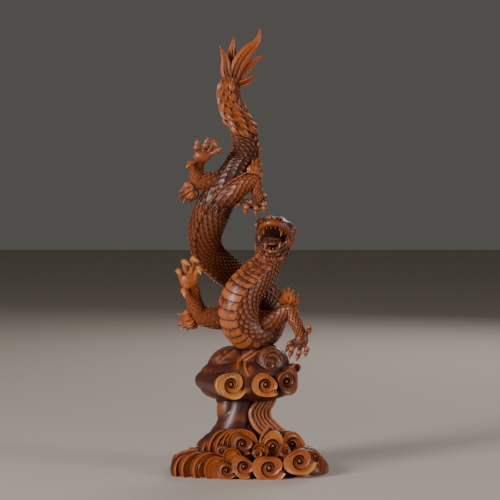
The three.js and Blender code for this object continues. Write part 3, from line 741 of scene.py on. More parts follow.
# %% Limb stops
# bones from the body to the wrist or ankle: x, y, z and half thickness
LIMBS = {
    "left arm": {
        "bones": [
            (-6.5, -6, 73, 6), (-12, -6, 72.8, 5.5), (-18, -6, 73, 5), (-23.5, -6, 74.5, 4.4),
            (-26.2, -7, 81, 3.5), (-26.8, -9, 87, 2.8),
        ],
        "palm": ((-28.7, -11, 91.3), (4.3, 2.6, 4.6)),
        "digits": [
            ((-31.5, -11, 90.5), (-33.6, -13.4, 95.8), (-31.8, -16, 93.4)),
            ((-30, -11.5, 93), (-30.8, -14, 100.2), (-27.6, -16.8, 97.6)),
            ((-27.5, -11.5, 93.5), (-26.6, -14, 101.4), (-23.6, -16.4, 99.2)),
            ((-25.8, -11, 92), (-24, -13.2, 97.2), (-22.8, -16.2, 93.4)),
            ((-29, -11.5, 88.5), (-31, -14.5, 86.2), (-29.6, -16, 82.6)),
        ],
        "tuft": ((-25.5, -6, 73), [(-34.4, -6, 75), (-34.6, -7, 69.2), (-30.4, -5, 66.4)]),
    },
    "right arm": {
        "bones": [
            (1.5, -4, 71.5, 6.2), (6, -5.5, 71, 5.2), (10, -6, 71.6, 4.6), (14.6, -6, 74.3, 3.9),
            (18, -6, 76.8, 3.4), (20.8, -7, 72.3, 3), (23.3, -8, 67, 2.5),
        ],
        "palm": ((24.3, -9, 63), (3.2, 2.3, 3.6)),
        "digits": [
            ((25, -9, 61.5), (26.6, -11.4, 58.6), (25.4, -12.6, 54.8)),
            ((23.6, -9, 60.5), (23, -11.6, 57), (21.6, -11.6, 52.8)),
            ((22.4, -8.5, 61.5), (19.6, -10.6, 58.6), (18.4, -10.4, 53.8)),
            ((22.4, -8, 63), (18.6, -8.6, 61), (16.8, -7.8, 56.4)),
            ((25.3, -9, 64.5), (27.8, -10.6, 67.4), (27.6, -11.8, 71)),
        ],
        "tuft": ((18.2, -6, 79), [(13.8, -6, 86), (17.8, -7, 88.2), (23.2, -6, 84.4)]),
    },
    "left leg": {
        "bones": [
            (-10, -2, 136.2, 6.4), (-15, -3, 136.8, 5.4), (-20, -4.5, 137, 4.5), (-24.4, -5, 138, 3.7),
            (-24.9, -6, 143, 3), (-23.8, -8, 146.6, 2.7),
        ],
        "palm": ((-22.3, -10, 149), (4.3, 2.5, 3.1)),
        "digits": [
            ((-25, -10, 149.5), (-25, -11.6, 153), (-24.3, -12, 156.9)),
            ((-22, -10, 150.5), (-20.8, -12, 154), (-19.5, -12.2, 157.8)),
            ((-19.6, -10, 150.5), (-16.6, -11.8, 155.8), (-15.4, -14.2, 153)),
            ((-20, -10, 149), (-15.4, -11.6, 151.2), (-13.6, -14, 152.4)),
            ((-24, -10, 147.4), (-28, -12, 145.4), (-29.2, -14, 143.2)),
        ],
        "tuft": ((-25.8, -5, 134.6), [(-33.6, -6, 132.6), (-33.8, -5, 127.9), (-29, -4, 125.9)]),
    },
    "right leg": {
        "bones": [
            (-14, -6, 128.8, 6), (-8.4, -9, 131.6, 4.8), (-2, -9.5, 135.8, 4), (2, -9, 137, 3.3),
            (3, -8.6, 133, 2.7), (3.8, -9, 129.5, 2.4),
        ],
        "palm": ((2, -9.5, 126.8), (3.6, 2.3, 2.9)),
        "digits": [
            ((4, -9.5, 126.5), (6.6, -12, 126.4), (6.4, -12.6, 122.6)),
            ((2.6, -10, 126), (3, -12.8, 124.6), (2.8, -12.4, 120.6)),
            ((0.6, -10, 126), (-1.6, -12.4, 125.2), (-2.4, -11.6, 121.4)),
            ((0.2, -9.5, 127.5), (-4, -9, 128.4), (-6.4, -8.6, 124.2)),
            ((3.6, -9.5, 128), (6.8, -9, 130.6), (7.4, -8.4, 127.2)),
        ],
        "tuft": ((2, -8, 139.5), [(4.8, -7, 148.4), (1.2, -7, 147.4), (6.4, -7, 144.4)]),
    },
}
print("limbs:", ", ".join(LIMBS))

# %% [markdown]
# A dragon's finger has a thick knuckle, a pad under it, and a claw that hooks down like a bird's. The
# finger and the claw are two tapers. Palm, fingers and claws of one hand are fused and then melted to
# one even skin, because a carver sands the small hollows between fingers until nothing looks stuck on.

# %% Hands
HAND_GRAIN = 0.3
HAND_KEPT = 0.28  # share of the melted skin's faces that is kept


def mix(a, b, share):
    return np.asarray(a, float) * (1 - share) + np.asarray(b, float) * share


def digit(root, knuckle, tip):
    # thick at the root, the knuckle and the pad before the claw, and thin between them
    stops = [
        (*root, 1.35), (*mix(root, knuckle, 0.35), 1.1), (*mix(root, knuckle, 0.7), 1.05), (*knuckle, 1.5),
        (*mix(knuckle, tip, 0.28), 1.05), (*mix(knuckle, tip, 0.5), 1.25), (*mix(knuckle, tip, 0.66), 0.8),
    ]
    outwards = unit(np.asarray(knuckle) - mix(root, tip, 0.5))
    claw = [
        (*mix(knuckle, tip, 0.42), 0.8), (*(mix(knuckle, tip, 0.66) + 0.35 * outwards), 0.78),
        (*(mix(knuckle, tip, 0.85) + 0.3 * outwards), 0.5), (*tip, 0.14),
    ]
    return taper(stops, 16, 10), taper(claw, 9, 8)


def hand(palm, digits):
    at, radii = palm
    pieces = [lump(at, radii, 20, 12)]
    for stops in digits:
        pieces += digit(*stops)
    return softened(fused(pieces), HAND_GRAIN, 1, HAND_KEPT)


hands = [hand(limb["palm"], limb["digits"]) for limb in LIMBS.values()]
print("triangles in the hands:", [len(triangles) for _, triangles in hands])

# %% [markdown]
# The scales on a limb run towards the hand. A tuft is a bud of flames: a round bulb with petals that
# belly out round it, draw in above it and flick apart at their tips. Its three main tips are given, and
# shorter petals stand between them and behind.

# %% Arms, legs and tufts
LIMB_SCALES_AROUND = 12
LIMB_SCALE_DEPTH = 0.7
PETAL_WIDTH = 2.2
BULB_RADII = (3.2, 3, 3.2)


def limb_coat(bones, palm):
    at, (_, half, _) = palm
    return coat(route_of([*bones, (*at, half)]), 0, 1, LIMB_SCALES_AROUND, LIMB_SCALE_DEPTH)


def tuft(root, tips):
    middle = np.mean(tips, axis=0)
    start = mix(root, middle, 0.05)
    bulb = mix(root, middle, 0.4)
    petals = [*tips, *(mix(one, other, 0.5) + (0, -1.6, 0) for one, other in zip(tips, tips[1:]))]
    petals.append(mix(middle, bulb, 0.1) + (0, 2.4, 0))
    pieces = [lump(bulb, BULB_RADII, 16, 10)]
    for tip in petals:
        aside = unit(np.asarray(tip) - middle + (0, -1.2, 0))
        bellied_out = mix(root, tip, 0.36) + aside * 2.2
        drawn_in = mix(root, tip, 0.7) + aside * 0.2
        pieces.append(blade([start, bellied_out, drawn_in, tip], PETAL_WIDTH, aside, steps=9))
    return pieces


limb_coats = [limb_coat(limb["bones"], limb["palm"]) for limb in LIMBS.values()]
tufts = [piece for limb in LIMBS.values() for piece in tuft(*limb["tuft"])]
print("scales on the limbs:", sum(len(triangles) for _, triangles in limb_coats) // 16)
print("bulbs and petals of the tufts:", len(tufts))

# %% [markdown]
# The tail ends in long flames that wave upwards. They are blades too, wider and with more bends. The
# last two stand behind the rest, so that the tail is full from every side.

# %% Tail flames
# the stops of each, and its half width
FLAMES = [
    ([(-9, -1, 183), (-11.2, -1.8, 189), (-11.6, -2, 194), (-12.9, -2, 198), (-14.3, -2, 201)], 2.6),
    ([(-8.6, 0.6, 184), (-8.8, 1.6, 192), (-8.6, 1.6, 198), (-7.4, 1.6, 206.4)], 2.7),
    (
        [
            (-8, -0.6, 184), (-5.7, -1, 191.5), (-1.4, -1, 198), (3, 0, 202.6), (4.5, 0, 206.2),
            (4.8, 0, 209.95),
        ],
        3.5,
    ),
    ([(-7, -0.6, 184), (-3, -0.4, 188.6), (1.6, 0, 193), (4.4, 0, 195.6), (7.5, 0, 196.4)], 1.9),
    ([(-7, -1.2, 182.4), (-3.6, -1.4, 183.2), (-0.4, -1.2, 184.8), (3, -1, 188)], 1.7),
    ([(-9, 1.4, 183), (-10.4, 4, 189), (-8.4, 6, 194.6), (-9.6, 6.4, 200)], 2.4),
    ([(-8, 1.6, 183), (-4.6, 4, 188), (-2, 5.4, 193.6), (1, 5.4, 199)], 2.4),
]
flames = [blade(route, width, steps=14) for route, width in FLAMES]
print("tail flames:", len(flames))

# %% [markdown]
# ## The head
# The head looks at the viewer with its jaws wide open, so both jaws run forwards, one up and one down,
# and the mouth is the dark hollow between them. The main masses are the skull, the jaws and the lips.

# %% Skull, jaws and lips
HEAD_UP = (0, 0.35, 1)


def jaw(stops, narrow, broad, steps=16, sides=22):
    angles = np.arange(sides) * TURN / sides
    return sweep(
        route_of(stops, HEAD_UP),
        np.linspace(0, 1, steps + 1),
        lambda share, size: (
            size * np.cos(angles),
            size * (narrow + (broad - narrow) * share) * np.sin(angles),
            0 * angles,
        ),
    )


UPPER_LIP = [
    (4.6, -8, 112, 0.9), (4.8, -14, 114.6, 1.1), (6.4, -19, 116.9, 1.4), (10, -21, 117.9, 1.6),
    (13.4, -20.6, 117.3, 1.6), (16.6, -18, 115, 1.5), (18.6, -13.5, 112, 1.4), (18.8, -8, 109.2, 1.4),
]
LOWER_LIP = [
    (4.8, -8, 108.6, 0.9), (5.8, -14, 106.6, 0.8), (7.8, -18.4, 105.2, 0.8), (10.2, -20.2, 104.6, 0.9),
    (12.6, -19, 104.9, 0.8), (15.2, -15, 106.2, 0.8), (17.8, -8, 108.2, 1.1),
]
upper_jaw = jaw(
    [
        (11.4, -1, 112.8, 6.6), (11.4, -8, 114.8, 5.2), (11.4, -14, 116.6, 3.4), (11.3, -19, 118, 2.3),
        (11.3, -21.2, 118.6, 1.3),
    ],
    1.25,
    2.4,
)
lower_jaw = jaw(
    [(11.2, -2, 106.8, 4.6), (11, -9, 105.2, 3.3), (10.6, -15, 103.6, 2.1), (10.4, -19.6, 103.4, 1.1)],
    1.5,
    2.8,
)
masses = [
    upper_jaw,
    lower_jaw,
    taper(UPPER_LIP, 40, 12),
    taper(LOWER_LIP, 34, 12),
    lump((11.4, -1.5, 111.4), (8.8, 7.6, 8.4)),
    lump((5, -6.6, 110.2), (2.6, 3.6, 4)),
    lump((18.4, -7, 109.6), (2.6, 3.4, 3.4)),
    lump((11.4, -11, 119), (5.6, 7, 1.9)),
    lump((11.2, -9, 104.6), (5.6, 5, 3.6)),
]
print("masses of the head:", len(masses))

# %% [markdown]
# Then the features that stand on them: flared nostrils, brows over round eyes, horns swept back, curls
# beside the cheeks. A curl is a taper whose route is a spiral, the same form that a carver gives to
# every lock and cloud.


# %% Features of the head
def facing_axes(facing):
    """The way a face looks and its own right-hand side, for degrees round from the front."""
    outwards = np.array([math.sin(math.radians(facing)), -math.cos(math.radians(facing)), 0])
    return outwards, np.array([-outwards[1], outwards[0], 0])


def curl(at, radius, facing, start, wind, turns=1.4, thick=0.9):
    """A small spiral lock in an upright plane that faces the given way."""
    outwards, sideways = facing_axes(facing)
    stops = []
    for share in np.linspace(0, 1, 12):
        angle = math.radians(start) + wind * TURN * turns * share
        reach = radius * (1 - 0.78 * share)
        place = np.asarray(at) + sideways * reach * math.cos(angle) + outwards * 0.9 * share
        stops.append((*(place + (0, 0, reach * math.sin(angle))), thick * (1 - 0.35 * share)))
    return taper(stops, 30, 8, up=outwards)


nostrils = [lump(at, (1.8, 1.8, 1.6), 14, 10) for at in ((9.3, -19, 119.8), (13.5, -18.8, 119.4))]
nostril_holes = [lump(at, (0.7, 1.1, 0.7), 10, 8) for at in ((8.6, -20.9, 120), (14.2, -20.6, 119.5))]
eyes = [lump(at, (1.5, 1.5, 1.4), 16, 12) for at in ((6, -12.6, 118.6), (16.9, -12.6, 117.4))]
brows = [
    taper([(7.8, -15, 118.6, 1.1), (5.4, -11.4, 119, 1.5), (4, -6, 118, 1.2)], 14, 10),
    taper([(15.2, -15, 118.2, 1.1), (18, -11.4, 117, 1.5), (19.8, -6, 115, 1.2)], 14, 10),
]
HORNS = [
    [(8, -4, 118, 1.9), (6.6, 4, 118.8, 1.6), (5, 10.6, 116.8, 1.2), (4.2, 15.6, 112.4, 0.4)],
    [(15.2, -4, 117, 1.9), (17, 4, 117.2, 1.6), (18.8, 10.4, 114.8, 1.2), (19.2, 15, 110.4, 0.4)],
]
horns = [taper(stops, 24, 10) for stops in HORNS]
curls = [
    curl((19.8, -9, 113), 2.3, 40, 200, -1, 1.4, 1.1),
    curl((18.6, -9.8, 108.8), 2, 40, 160, 1, 1.4, 1),
    curl((15.8, -10, 104.8), 1.4, 36, 200, -1),
    curl((4.6, -8, 114.4), 1.5, -40, -20, 1),
]
features = [*nostrils, *brows, *horns, *curls]
print("features of the head:", len(features))

# %% [markdown]
# Teeth repeat along the lips, and Geometry Nodes could set them there as they set the crest. But there
# are only two short rows, which lean in towards the throat, and a loop that walks the lip's route is
# plainer to read. The fangs at the corners are longer, and the tongue rolls forwards in a broad strap.


# %% Teeth and tongue
THROAT = (11, -6, 0)
TOOTH_HALF, TOOTH_TIP = 0.62, 0.1


def teeth(lip, count, start, end, height):
    """A row of cones that stand on a lip: height is negative for the upper row, which points down."""
    centre, _, _, _, half = route_of(lip).at(np.linspace(start, end, count))
    inwards = unit(THROAT - centre * (1, 1, 0)) * 0.5
    row = []
    for root, lean, thick in zip(centre, inwards, half):
        rise = (0, 0, height + np.sign(height) * thick)
        row.append(taper([(*(root + lean), TOOTH_HALF), (*(root + 1.4 * lean + rise), TOOTH_TIP)], 3, 7))
    return row


FANGS = [
    [(6.5, -17.6, 116.6, 1), (6.3, -17, 112.6, 0.2)],
    [(14.6, -18.4, 116.2, 1), (14.4, -17.8, 111.6, 0.2)],
    [(7.2, -17.4, 105.4, 0.9), (7, -17.8, 108.8, 0.2)],
    [(13.6, -17, 105.6, 0.9), (14, -17.4, 109, 0.2)],
]
TONGUE = [(10.6, -6, 106.6, 1.2), (10.5, -11, 107, 1.1), (10.3, -15, 107.6, 0.9), (10.2, -17.6, 108.2, 0.5)]
mouth = [taper(stops, 6, 10) for stops in FANGS]
mouth += teeth(UPPER_LIP, 13, 0.14, 0.86, -1.1)
mouth += teeth(LOWER_LIP, 11, 0.16, 0.84, 0.9)
mouth.append(taper(TONGUE, 18, 16, 3, HEAD_UP))
print("teeth and tongue:", len(mouth))

# %% [markdown]
# A mane of locks flows back over the nape, a short beard hangs from the chin, and the ears are blades
# as well. Skull, jaws, lips and features are melted together first, with the nostrils bored into them;
# the crisp pieces, teeth, eyes and hair, are added after, so that the sanding leaves them sharp.

# %% Mane, beard and ears
HEAD_GRAIN = 0.32
HEAD_KEPT = 0.36
LOCK_PITCH = 0.6

mane = []
for aside in np.arange(-4, 5) * LOCK_PITCH:
    # a lock further out starts lower, bends less far back and ends higher
    out = abs(aside)
    stops = [
        (11.3 + 2.2 * aside, 1.5, 114 - 1.4 * out),
        (11.2 + 2.9 * aside, 8 - 0.5 * out, 110.5 - 1.4 * out),
        (10.8 + 3 * aside, 8.6 - 0.8 * out, 103 + 0.8 * out),
        (10.6 + 2.9 * aside, 5.2, 98 + 1.4 * out),
    ]
    mane.append(blade(stops, 2.0, (0, 1, 0.5), steps=8))
beard = []
for aside in np.arange(-2, 3) * LOCK_PITCH:
    stops = [
        (10.6 + 2.4 * aside, -15, 104), (10.8 + 3 * aside, -17.6, 101.6),
        (11 + 3.4 * aside, -16.6, 98.4 + abs(aside)),
    ]
    beard.append(blade(stops, 1.3))
jowls = []
for side, cheek_x in ((-1, 6.4), (1, 15.8)):
    for i in range(3):
        root = (cheek_x, -6 + 1.8 * i, 108 + 1.2 * i)
        tip = (cheek_x + side * (0.2 - 0.5 * i), -2 + 2.4 * i, 101.4 + 2.2 * i)
        bend = mix(root, tip, 0.5) + (side * 0.6, -0.6, 0.6)
        jowls.append(blade([root, bend, tip], 1.5, (side, -0.6, 0), steps=6))
ears = [
    blade([(6, -3, 115), (3.6, 1, 117), (1.8, 5, 116.6)], 1.7, (0, -0.4, 1)),
    blade([(18, -3, 113), (20.6, 1, 114), (21.6, 5, 112.6)], 1.7, (0, -0.4, 1)),
]
hair = [*mane, *beard, *jowls, *ears]
head = softened(fused(masses + features, nostril_holes), HEAD_GRAIN, 2, HEAD_KEPT)
print("triangles in the head:", len(head[1]), "and locks of hair:", len(hair))

# %% [markdown]
# ## The clouds
# The plinth is a bank of rolling clouds on the floor, a waist that rises from it like smoke, and an upper
# bank that carries the dragon. Its masses are lofts: level ovals at a few heights, joined by a smooth
# curve. Flutes are folded into the ovals, round ribs with sharp valleys, and turned with the height,
# which gives the rising twist.

# %% Cloud masses
FINE_RIBS = 24


def loft(levels, sides=72, steps=4):
    """Level ovals: height, middle, half sizes, flute depth, twist and fine rib depth."""
    table = np.array([(z, *middle, *half, *folds) for z, middle, half, *folds in levels])
    heights = np.linspace(0, 1, steps * (len(levels) - 1) + 1)
    smooth, _ = through(table, heights, even=True)
    angles = np.arange(sides) * TURN / sides
    z, cx, cy, rx, ry, flute, twist, fine = smooth.T[..., None]
    broad = 1 - np.abs(np.cos(4 * angles))
    narrow = 1 - np.abs(np.cos(FINE_RIBS / 2 * (angles + 1.6 * twist)))
    reach = 1 - flute * broad - fine * narrow
    turned = angles + twist
    rings = np.stack(
        np.broadcast_arrays(cx + rx * reach * np.cos(turned), cy + ry * reach * np.sin(turned), z), -1
    )
    return skin(rings)


lower_bank = loft(
    [
        (-1, (3.6, 0), (31, 22), 0, 0, 0.01),
        (2.4, (3.6, 0), (30.4, 21), 0, 0, 0.02),
        (10, (2, 0), (24.4, 18), 0, 0.1, 0.03),
        (19, (-1.5, 0), (17, 13.6), 0, 0.2, 0.03),
        (21.6, (-2, 0), (13.5, 11.5), 0, 0.3, 0.03),
    ]
)
waist = loft(
    [
        (17, (-2.5, 0), (16, 12.5), 0.1, 0, 0.05),
        (21, (-3, 0), (13.8, 11.5), 0.16, 0.15, 0.06),
        (25.5, (-3.6, 0), (12.4, 10.5), 0.18, 0.4, 0.06),
        (30, (-3.2, 0), (12.4, 10.5), 0.16, 0.65, 0.06),
        (36, (-2.2, 0), (15, 12), 0.1, 0.8, 0.05),
    ]
)
upper_bank = loft(
    [
        (34.5, (-2, -2), (15, 12), 0, 0, 0),
        (36.2, (-2, -1.8), (19.5, 15.4), 0, 0, 0.01),
        (39, (-2, -1.5), (21.6, 17.1), 0, 0, 0.02),
        (43, (-2, -1.5), (21.9, 17.4), 0, 0.1, 0.03),
        (47.5, (-2, -1.5), (21.5, 17), 0, 0.2, 0.03),
        (51, (-1.8, -1.2), (18, 14.4), 0, 0.3, 0.03),
        (52.8, (-1.5, -1), (14, 11), 0, 0.35, 0.03),
    ]
)
humps = [
    lump((9.4, -4.6, 49.4), (9.4, 10.6, 10.8), 36, 24),
    lump((-8, 0, 47), (12.8, 13, 12.3), 40, 24),
    lump((1, -3.1, 50), (9, 9, 9.3), 32, 20),
]
swells = [
    lump((26.4, -5, 1), (11, 13, 8.2), 32, 18),
    lump((24, 8, 2), (11, 12, 9), 32, 18),
    lump((-22, 9, 1), (12, 11, 9), 32, 18),
]
masses_of_cloud = [lower_bank, waist, upper_bank, *humps, *swells]
print("cloud masses:", len(masses_of_cloud))

# %% [markdown]
# A scroll is a log of cloud whose end is carved as a flat, wavy-edged face round a deep pit, and one
# spiral leads from the outline down to a knob in the pit. The radius shrinks slowly over the first turn,
# which is the lobed outline, and then falls fast. The face is a strip of short profiles, one for each
# spoke: a raised rim, the flat, and the wall of the groove. Each turn's groove is stitched to the edge of
# the next turn inside it.

# %% The net of a scroll
SCROLL_TURNS = 2.1
# the profile over the band: share of its width, and depth in millimetres
BAND = np.array([(0, 0.6), (0.035, 0.05), (0.1, 0.2), (0.5, 0.7), (0.9, 0.4), (0.955, 0.6), (1, 1.7)])
PIT_DEPTH = 0.7
KNOB_DEPTH = 0.7
# from the ring to the tip: share of the ring's reach, and depth below the tip
KNOB_PROFILE = ((0.85, 1.6), (0.65, 0.7), (0.4, 0.2), (0.18, 0.03))


class ScrollNet:
    """Which point has which number: the band spoke by spoke, the log, and the rings of the knob."""

    def __init__(self, total, per_turn, wide, deep):
        self.total, self.per_turn, self.wide, self.deep = total, per_turn, wide, deep
        self.log_start = (total + 1) * wide
        self.knob_start = self.log_start + per_turn * deep
        # the inner edge of the last turn, and the end of the band, run round the knob
        last_turn = [self.on_face(spoke, wide - 1) for spoke in range(total - per_turn, total + 1)]
        self.ring = last_turn + [self.on_face(total, column) for column in range(wide - 2, -1, -1)]

    def on_face(self, spoke, column):
        return spoke * self.wide + column

    def on_log(self, spoke, column):
        return self.log_start + (spoke % self.per_turn) * self.deep + column


def scroll_faces(net):
    total, per_turn, inner, rim = net.total, net.per_turn, net.wide - 1, net.deep - 1
    on_face, on_log = net.on_face, net.on_log

    def patches(number, rows, columns):
        row, column = (part.ravel() for part in np.mgrid[:rows, :columns])
        return quads(*(number(row + i, column + j) for i, j in ((0, 0), (1, 0), (1, 1), (0, 1))))

    faces = patches(on_face, total, inner)
    spoke = np.arange(total - per_turn)
    next_turn = spoke + per_turn
    faces += quads(
        on_face(spoke, inner), on_face(spoke + 1, inner), on_face(next_turn + 1, 0), on_face(next_turn, 0)
    )
    faces += patches(on_log, per_turn, rim)
    spoke = np.arange(per_turn - 1)
    faces += quads(on_log(spoke, rim), on_log(spoke + 1, rim), on_face(spoke + 1, 0), on_face(spoke, 0))
    # the step where the outline's end meets the start of the second turn
    last, rim_last, rim_first = on_face(per_turn - 1, 0), on_log(per_turn - 1, rim), on_log(0, rim)
    step = [(rim_last, rim_first, last), (rim_first, on_face(per_turn, 0), last)]
    step += [(rim_first, on_face(0, column), on_face(0, column + 1)) for column in range(inner)]
    step.append((rim_first, on_face(0, inner), on_face(per_turn, 0)))
    # the knob, ring inside ring, and its tip
    count = len(net.ring)
    rings = [np.array(net.ring)]
    rings += [net.knob_start + k * count + np.arange(count) for k in range(len(KNOB_PROFILE))]
    after = (np.arange(count) + 1) % count
    for outside, inside in zip(rings, rings[1:]):
        faces += quads(outside, outside[after], inside[after], inside)
    tip = net.knob_start + len(KNOB_PROFILE) * count
    faces.append(np.stack([rings[-1], rings[-1][after], np.full(count, tip)], -1))
    # the far end of the log
    spoke = np.arange(per_turn)
    faces.append(np.stack([np.full(per_turn, tip + 1), on_log(spoke + 1, 0), on_log(spoke, 0)], -1))
    return np.concatenate([*faces, np.array(step)])


print("a scroll's band has", len(BAND), "points on each spoke")

# %% [markdown]
# Then the places of the points, and the list of scrolls. A small scroll has fewer spokes, and is carved
# less deep in proportion.

# %% Scrolls
FULL_DEPTH_RADIUS = 6
SMALL_RADIUS = 4
# from the far end of the log to its rim: share of the outline's reach
LOG_REACH = np.array([0.3, 0.66, 0.86, 0.97, 1.0])

# the middle of the pit, radius, facing in degrees from the front, run of the log, where the spiral
# starts, the way it winds, and how far its face was rubbed back to the golden wood
SCROLLS = [
    # upper bank, front and back
    ((-8.2, -22.2, 43.2), 8.6, 28, 28, -28, -1, 0.85),
    ((7.4, -22.6, 43.2), 7.4, 0, 18, -40, -1, 0.52),
    ((17.6, -18.8, 44.2), 7.2, 26, 18, 78, -1, 0.15),
    ((-15, 13.4, 43.4), 8.2, 205, 16, 200, -1, 0.3),
    ((10, 15, 43.4), 8, 155, 16, -40, 1, 0.3),
    # lower bank along the floor, front and back
    ((-10.8, -28, 4.2), 5.4, -4, 14, -30, -1, 0.3),
    ((-2.8, -28.6, 6), 6.6, 0, 15, -60, -1, 0.42),
    ((9, -29.2, 5.4), 8.8, 5, 16, -20, -1, 0.5),
    ((23.2, -27.2, 8.4), 8.4, 16, 16, -8, -1, 0.55),
    ((-20, 21, 6.4), 8.4, 215, 14, 20, 1, 0.25),
    ((0, 30, 6.6), 8.4, 180, 16, 190, 1, 0.25),
    ((20, 22, 6.4), 8.4, 145, 14, 160, -1, 0.25),
    # its second row
    ((-3.5, -22.6, 15.6), 6.4, -4, 13, -50, -1, 0.25),
    ((10.9, -22.6, 14.4), 7.6, 6, 14, 234, -1, 0.6),
    ((20, -17.6, 14.6), 7, 24, 12, -10, 1, 0.5),
    ((-6, 21, 15), 7.2, 190, 12, 60, 1, 0.25),
    # small ones that fill the corners
    ((-13.0, -23.4, 12.3), 3.4, -5, 8, 20, 1, 0.25),
    ((3.2, -27, 11.6), 2.8, 0, 8, 180, -1, 0.3),
    ((16.4, -25, 12.8), 3.6, 10, 8, 70, 1, 0.3),
    ((31.0, -17, 8), 3.4, 40, 8, 160, 1, 0.2),
    ((9, -15.8, 51.8), 3.2, 4, 6, 30, 1, 0.2),
    ((22, -12, 49.4), 3.2, 44, 8, 190, -1, 0.2),
    ((-28, 13.6, 5.6), 4.4, 235, 8, 60, -1, 0.2),
]


def scroll(at, radius, facing, run, start, wind):
    outwards, sideways = facing_axes(facing)
    per_turn = 14 if radius < SMALL_RADIUS else 24
    total = round(per_turn * SCROLL_TURNS)
    scale = min(1, radius / FULL_DEPTH_RADIUS)

    def edge(turns):
        # two broad lobes, the same on all, and three small ones that fall elsewhere on each
        broad = 0.09 * np.cos(2 * TURN * (turns - 0.43)) - 0.02
        small = 0.05 * (np.cos(3 * TURN * turns + at[0]) - 1)
        outline = 1 - 0.36 * turns**1.6 + (broad + small)
        return radius * np.where(turns < 1, outline, 0.56 * np.exp(-0.9 * (turns - 1)))

    def place(reach, spoke, depth):
        reach, spoke, depth = np.broadcast_arrays(reach, spoke, depth)
        angle = math.radians(start) + wind * TURN * spoke / per_turn
        flat = sideways * (reach * np.cos(angle))[..., None] - outwards * depth[..., None]
        return np.asarray(at) + flat + np.array([0, 0, 1]) * (reach * np.sin(angle))[..., None]

    spokes = np.arange(total + 1)[:, None]
    turns = spokes / per_turn
    outer = edge(turns) - 0.15
    inner = np.minimum(edge(turns + 0.97) + 0.15 * scale, outer - 0.3)
    # the groove starts shallow at the outline, and the band sinks as it winds into the pit
    groove = np.where(BAND[:, 0] == 1, 0.25 + 0.75 * np.clip(turns / 0.35, 0, 1), 1)
    sink = PIT_DEPTH * np.clip((turns - 1) / 0.45, 0, 1)
    face = place(outer + (inner - outer) * BAND[:, 0], spokes, (sink + BAND[:, 1] * groove) * scale)
    # the log behind it ends rounded, as some logs stand free at the back
    first_turn = np.arange(per_turn)[:, None]
    log_depth = np.array([run, run - 1.4, run - 3.6, 3.2, 1.5])
    log = place(edge(first_turn / per_turn) * LOG_REACH, first_turn, log_depth)
    # the knob: the ring round it shrinks to a rounded tip
    net = ScrollNet(total, per_turn, face.shape[1], log.shape[1])
    ring_places = face.reshape(-1, 3)[net.ring]
    tip = np.asarray(at) - outwards * KNOB_DEPTH * scale
    flat = ring_places - outwards * ((ring_places - tip) @ outwards)[:, None]
    knob = [mix(tip, flat, share) - outwards * sunk * scale for share, sunk in KNOB_PROFILE]
    points = [face.reshape(-1, 3), log.reshape(-1, 3), *knob, [tip], [np.asarray(at) - outwards * run]]
    return closed(np.concatenate(points), scroll_faces(net))


scrolls = [scroll(*values[:-1]) for values in SCROLLS]
print("scrolls:", len(scrolls), "of", len(scrolls[0][1]), "triangles each")

# %% [markdown]
# Between the scrolls, and round both ends of the bank, logs with plain ends stand one behind another
# like fanned cards, so that their rims show as nested arcs. Each end is dished and ringed by two fine
# steps inside a raised rim.

# %% Nested shells
# from the middle of a shell's face to its rim and back along the log: share of the radius, and depth
SHELL_PROFILE = (
    (0.3, 1.2), (0.52, 0.9), (0.66, 0.55), (0.7, 0.9), (0.81, 0.35), (0.85, 0.7), (0.93, 0.05), (0.98, 0),
)
SHELLS = [
    # left end of the bank, from the front backwards: middle, radius, facing and run
    ((-15, -25.8, 4), 6.3, 8, 12),
    ((-18.6, -22.4, 3.6), 8.2, 22, 10),
    ((-24.2, -19.4, 3.4), 8.2, 28, 10),
    ((-28.5, -17, 2.6), 7.6, 32, 6.5),
    ((-27.4, -8, 1.4), 10, -50, 12),
    ((-31.6, -1.4, 0.6), 9, -55, 10),
    ((-34.9, 5.2, 0.1), 7, -62, 8),
    # above it, beside the foot of the waist
    ((-3.6, -21.4, 15.2), 7.4, 0, 9),
    ((-4.6, -19.6, 13.8), 8.6, 8, 9),
    ((-6.6, -16.6, 12.4), 9.8, 16, 9),
    ((-9.8, -12.5, 11.4), 10.3, 22, 9),
    ((-13.6, -8, 10), 9.6, 26, 9),
    ((-18, -2, 9), 8, -50, 9),
    # fillers between the scrolls
    ((-8.2, -25.4, 9.6), 4.6, 2, 8),
    ((4.6, -26, 12.6), 3.6, 0, 8),
    # right end
    ((27.4, -19, 4.6), 8, 30, 9),
    ((31, -13.4, 3), 6.6, 44, 7),
    # behind
    ((30.6, 6, 3), 7.4, 115, 8),
    ((9.6, 19.8, 13.4), 7.4, 168, 10),
    ((-13.4, 17.4, 13.4), 7.4, 205, 10),
]


def shell(at, radius, facing, run):
    outwards, sideways = facing_axes(facing)
    angles = np.arange(30) * TURN / 30
    rings = []
    for share, depth in (*SHELL_PROFILE, (1, 0.5), (1, 1.6), (1, run * 0.6), (0.86, run)):
        reach = radius * share * (1 - 0.02 * (1 + np.cos(3 * angles + at[0])))
        ring = np.asarray(at) - outwards * depth + sideways * (reach * np.cos(angles))[:, None]
        rings.append(ring + np.array([0, 0, 1]) * (reach * np.sin(angles))[:, None])
    return skin(rings)


shells = [shell(*values) for values in SHELLS]
print("shells:", len(shells), "of", len(shells[0][1]), "triangles each")
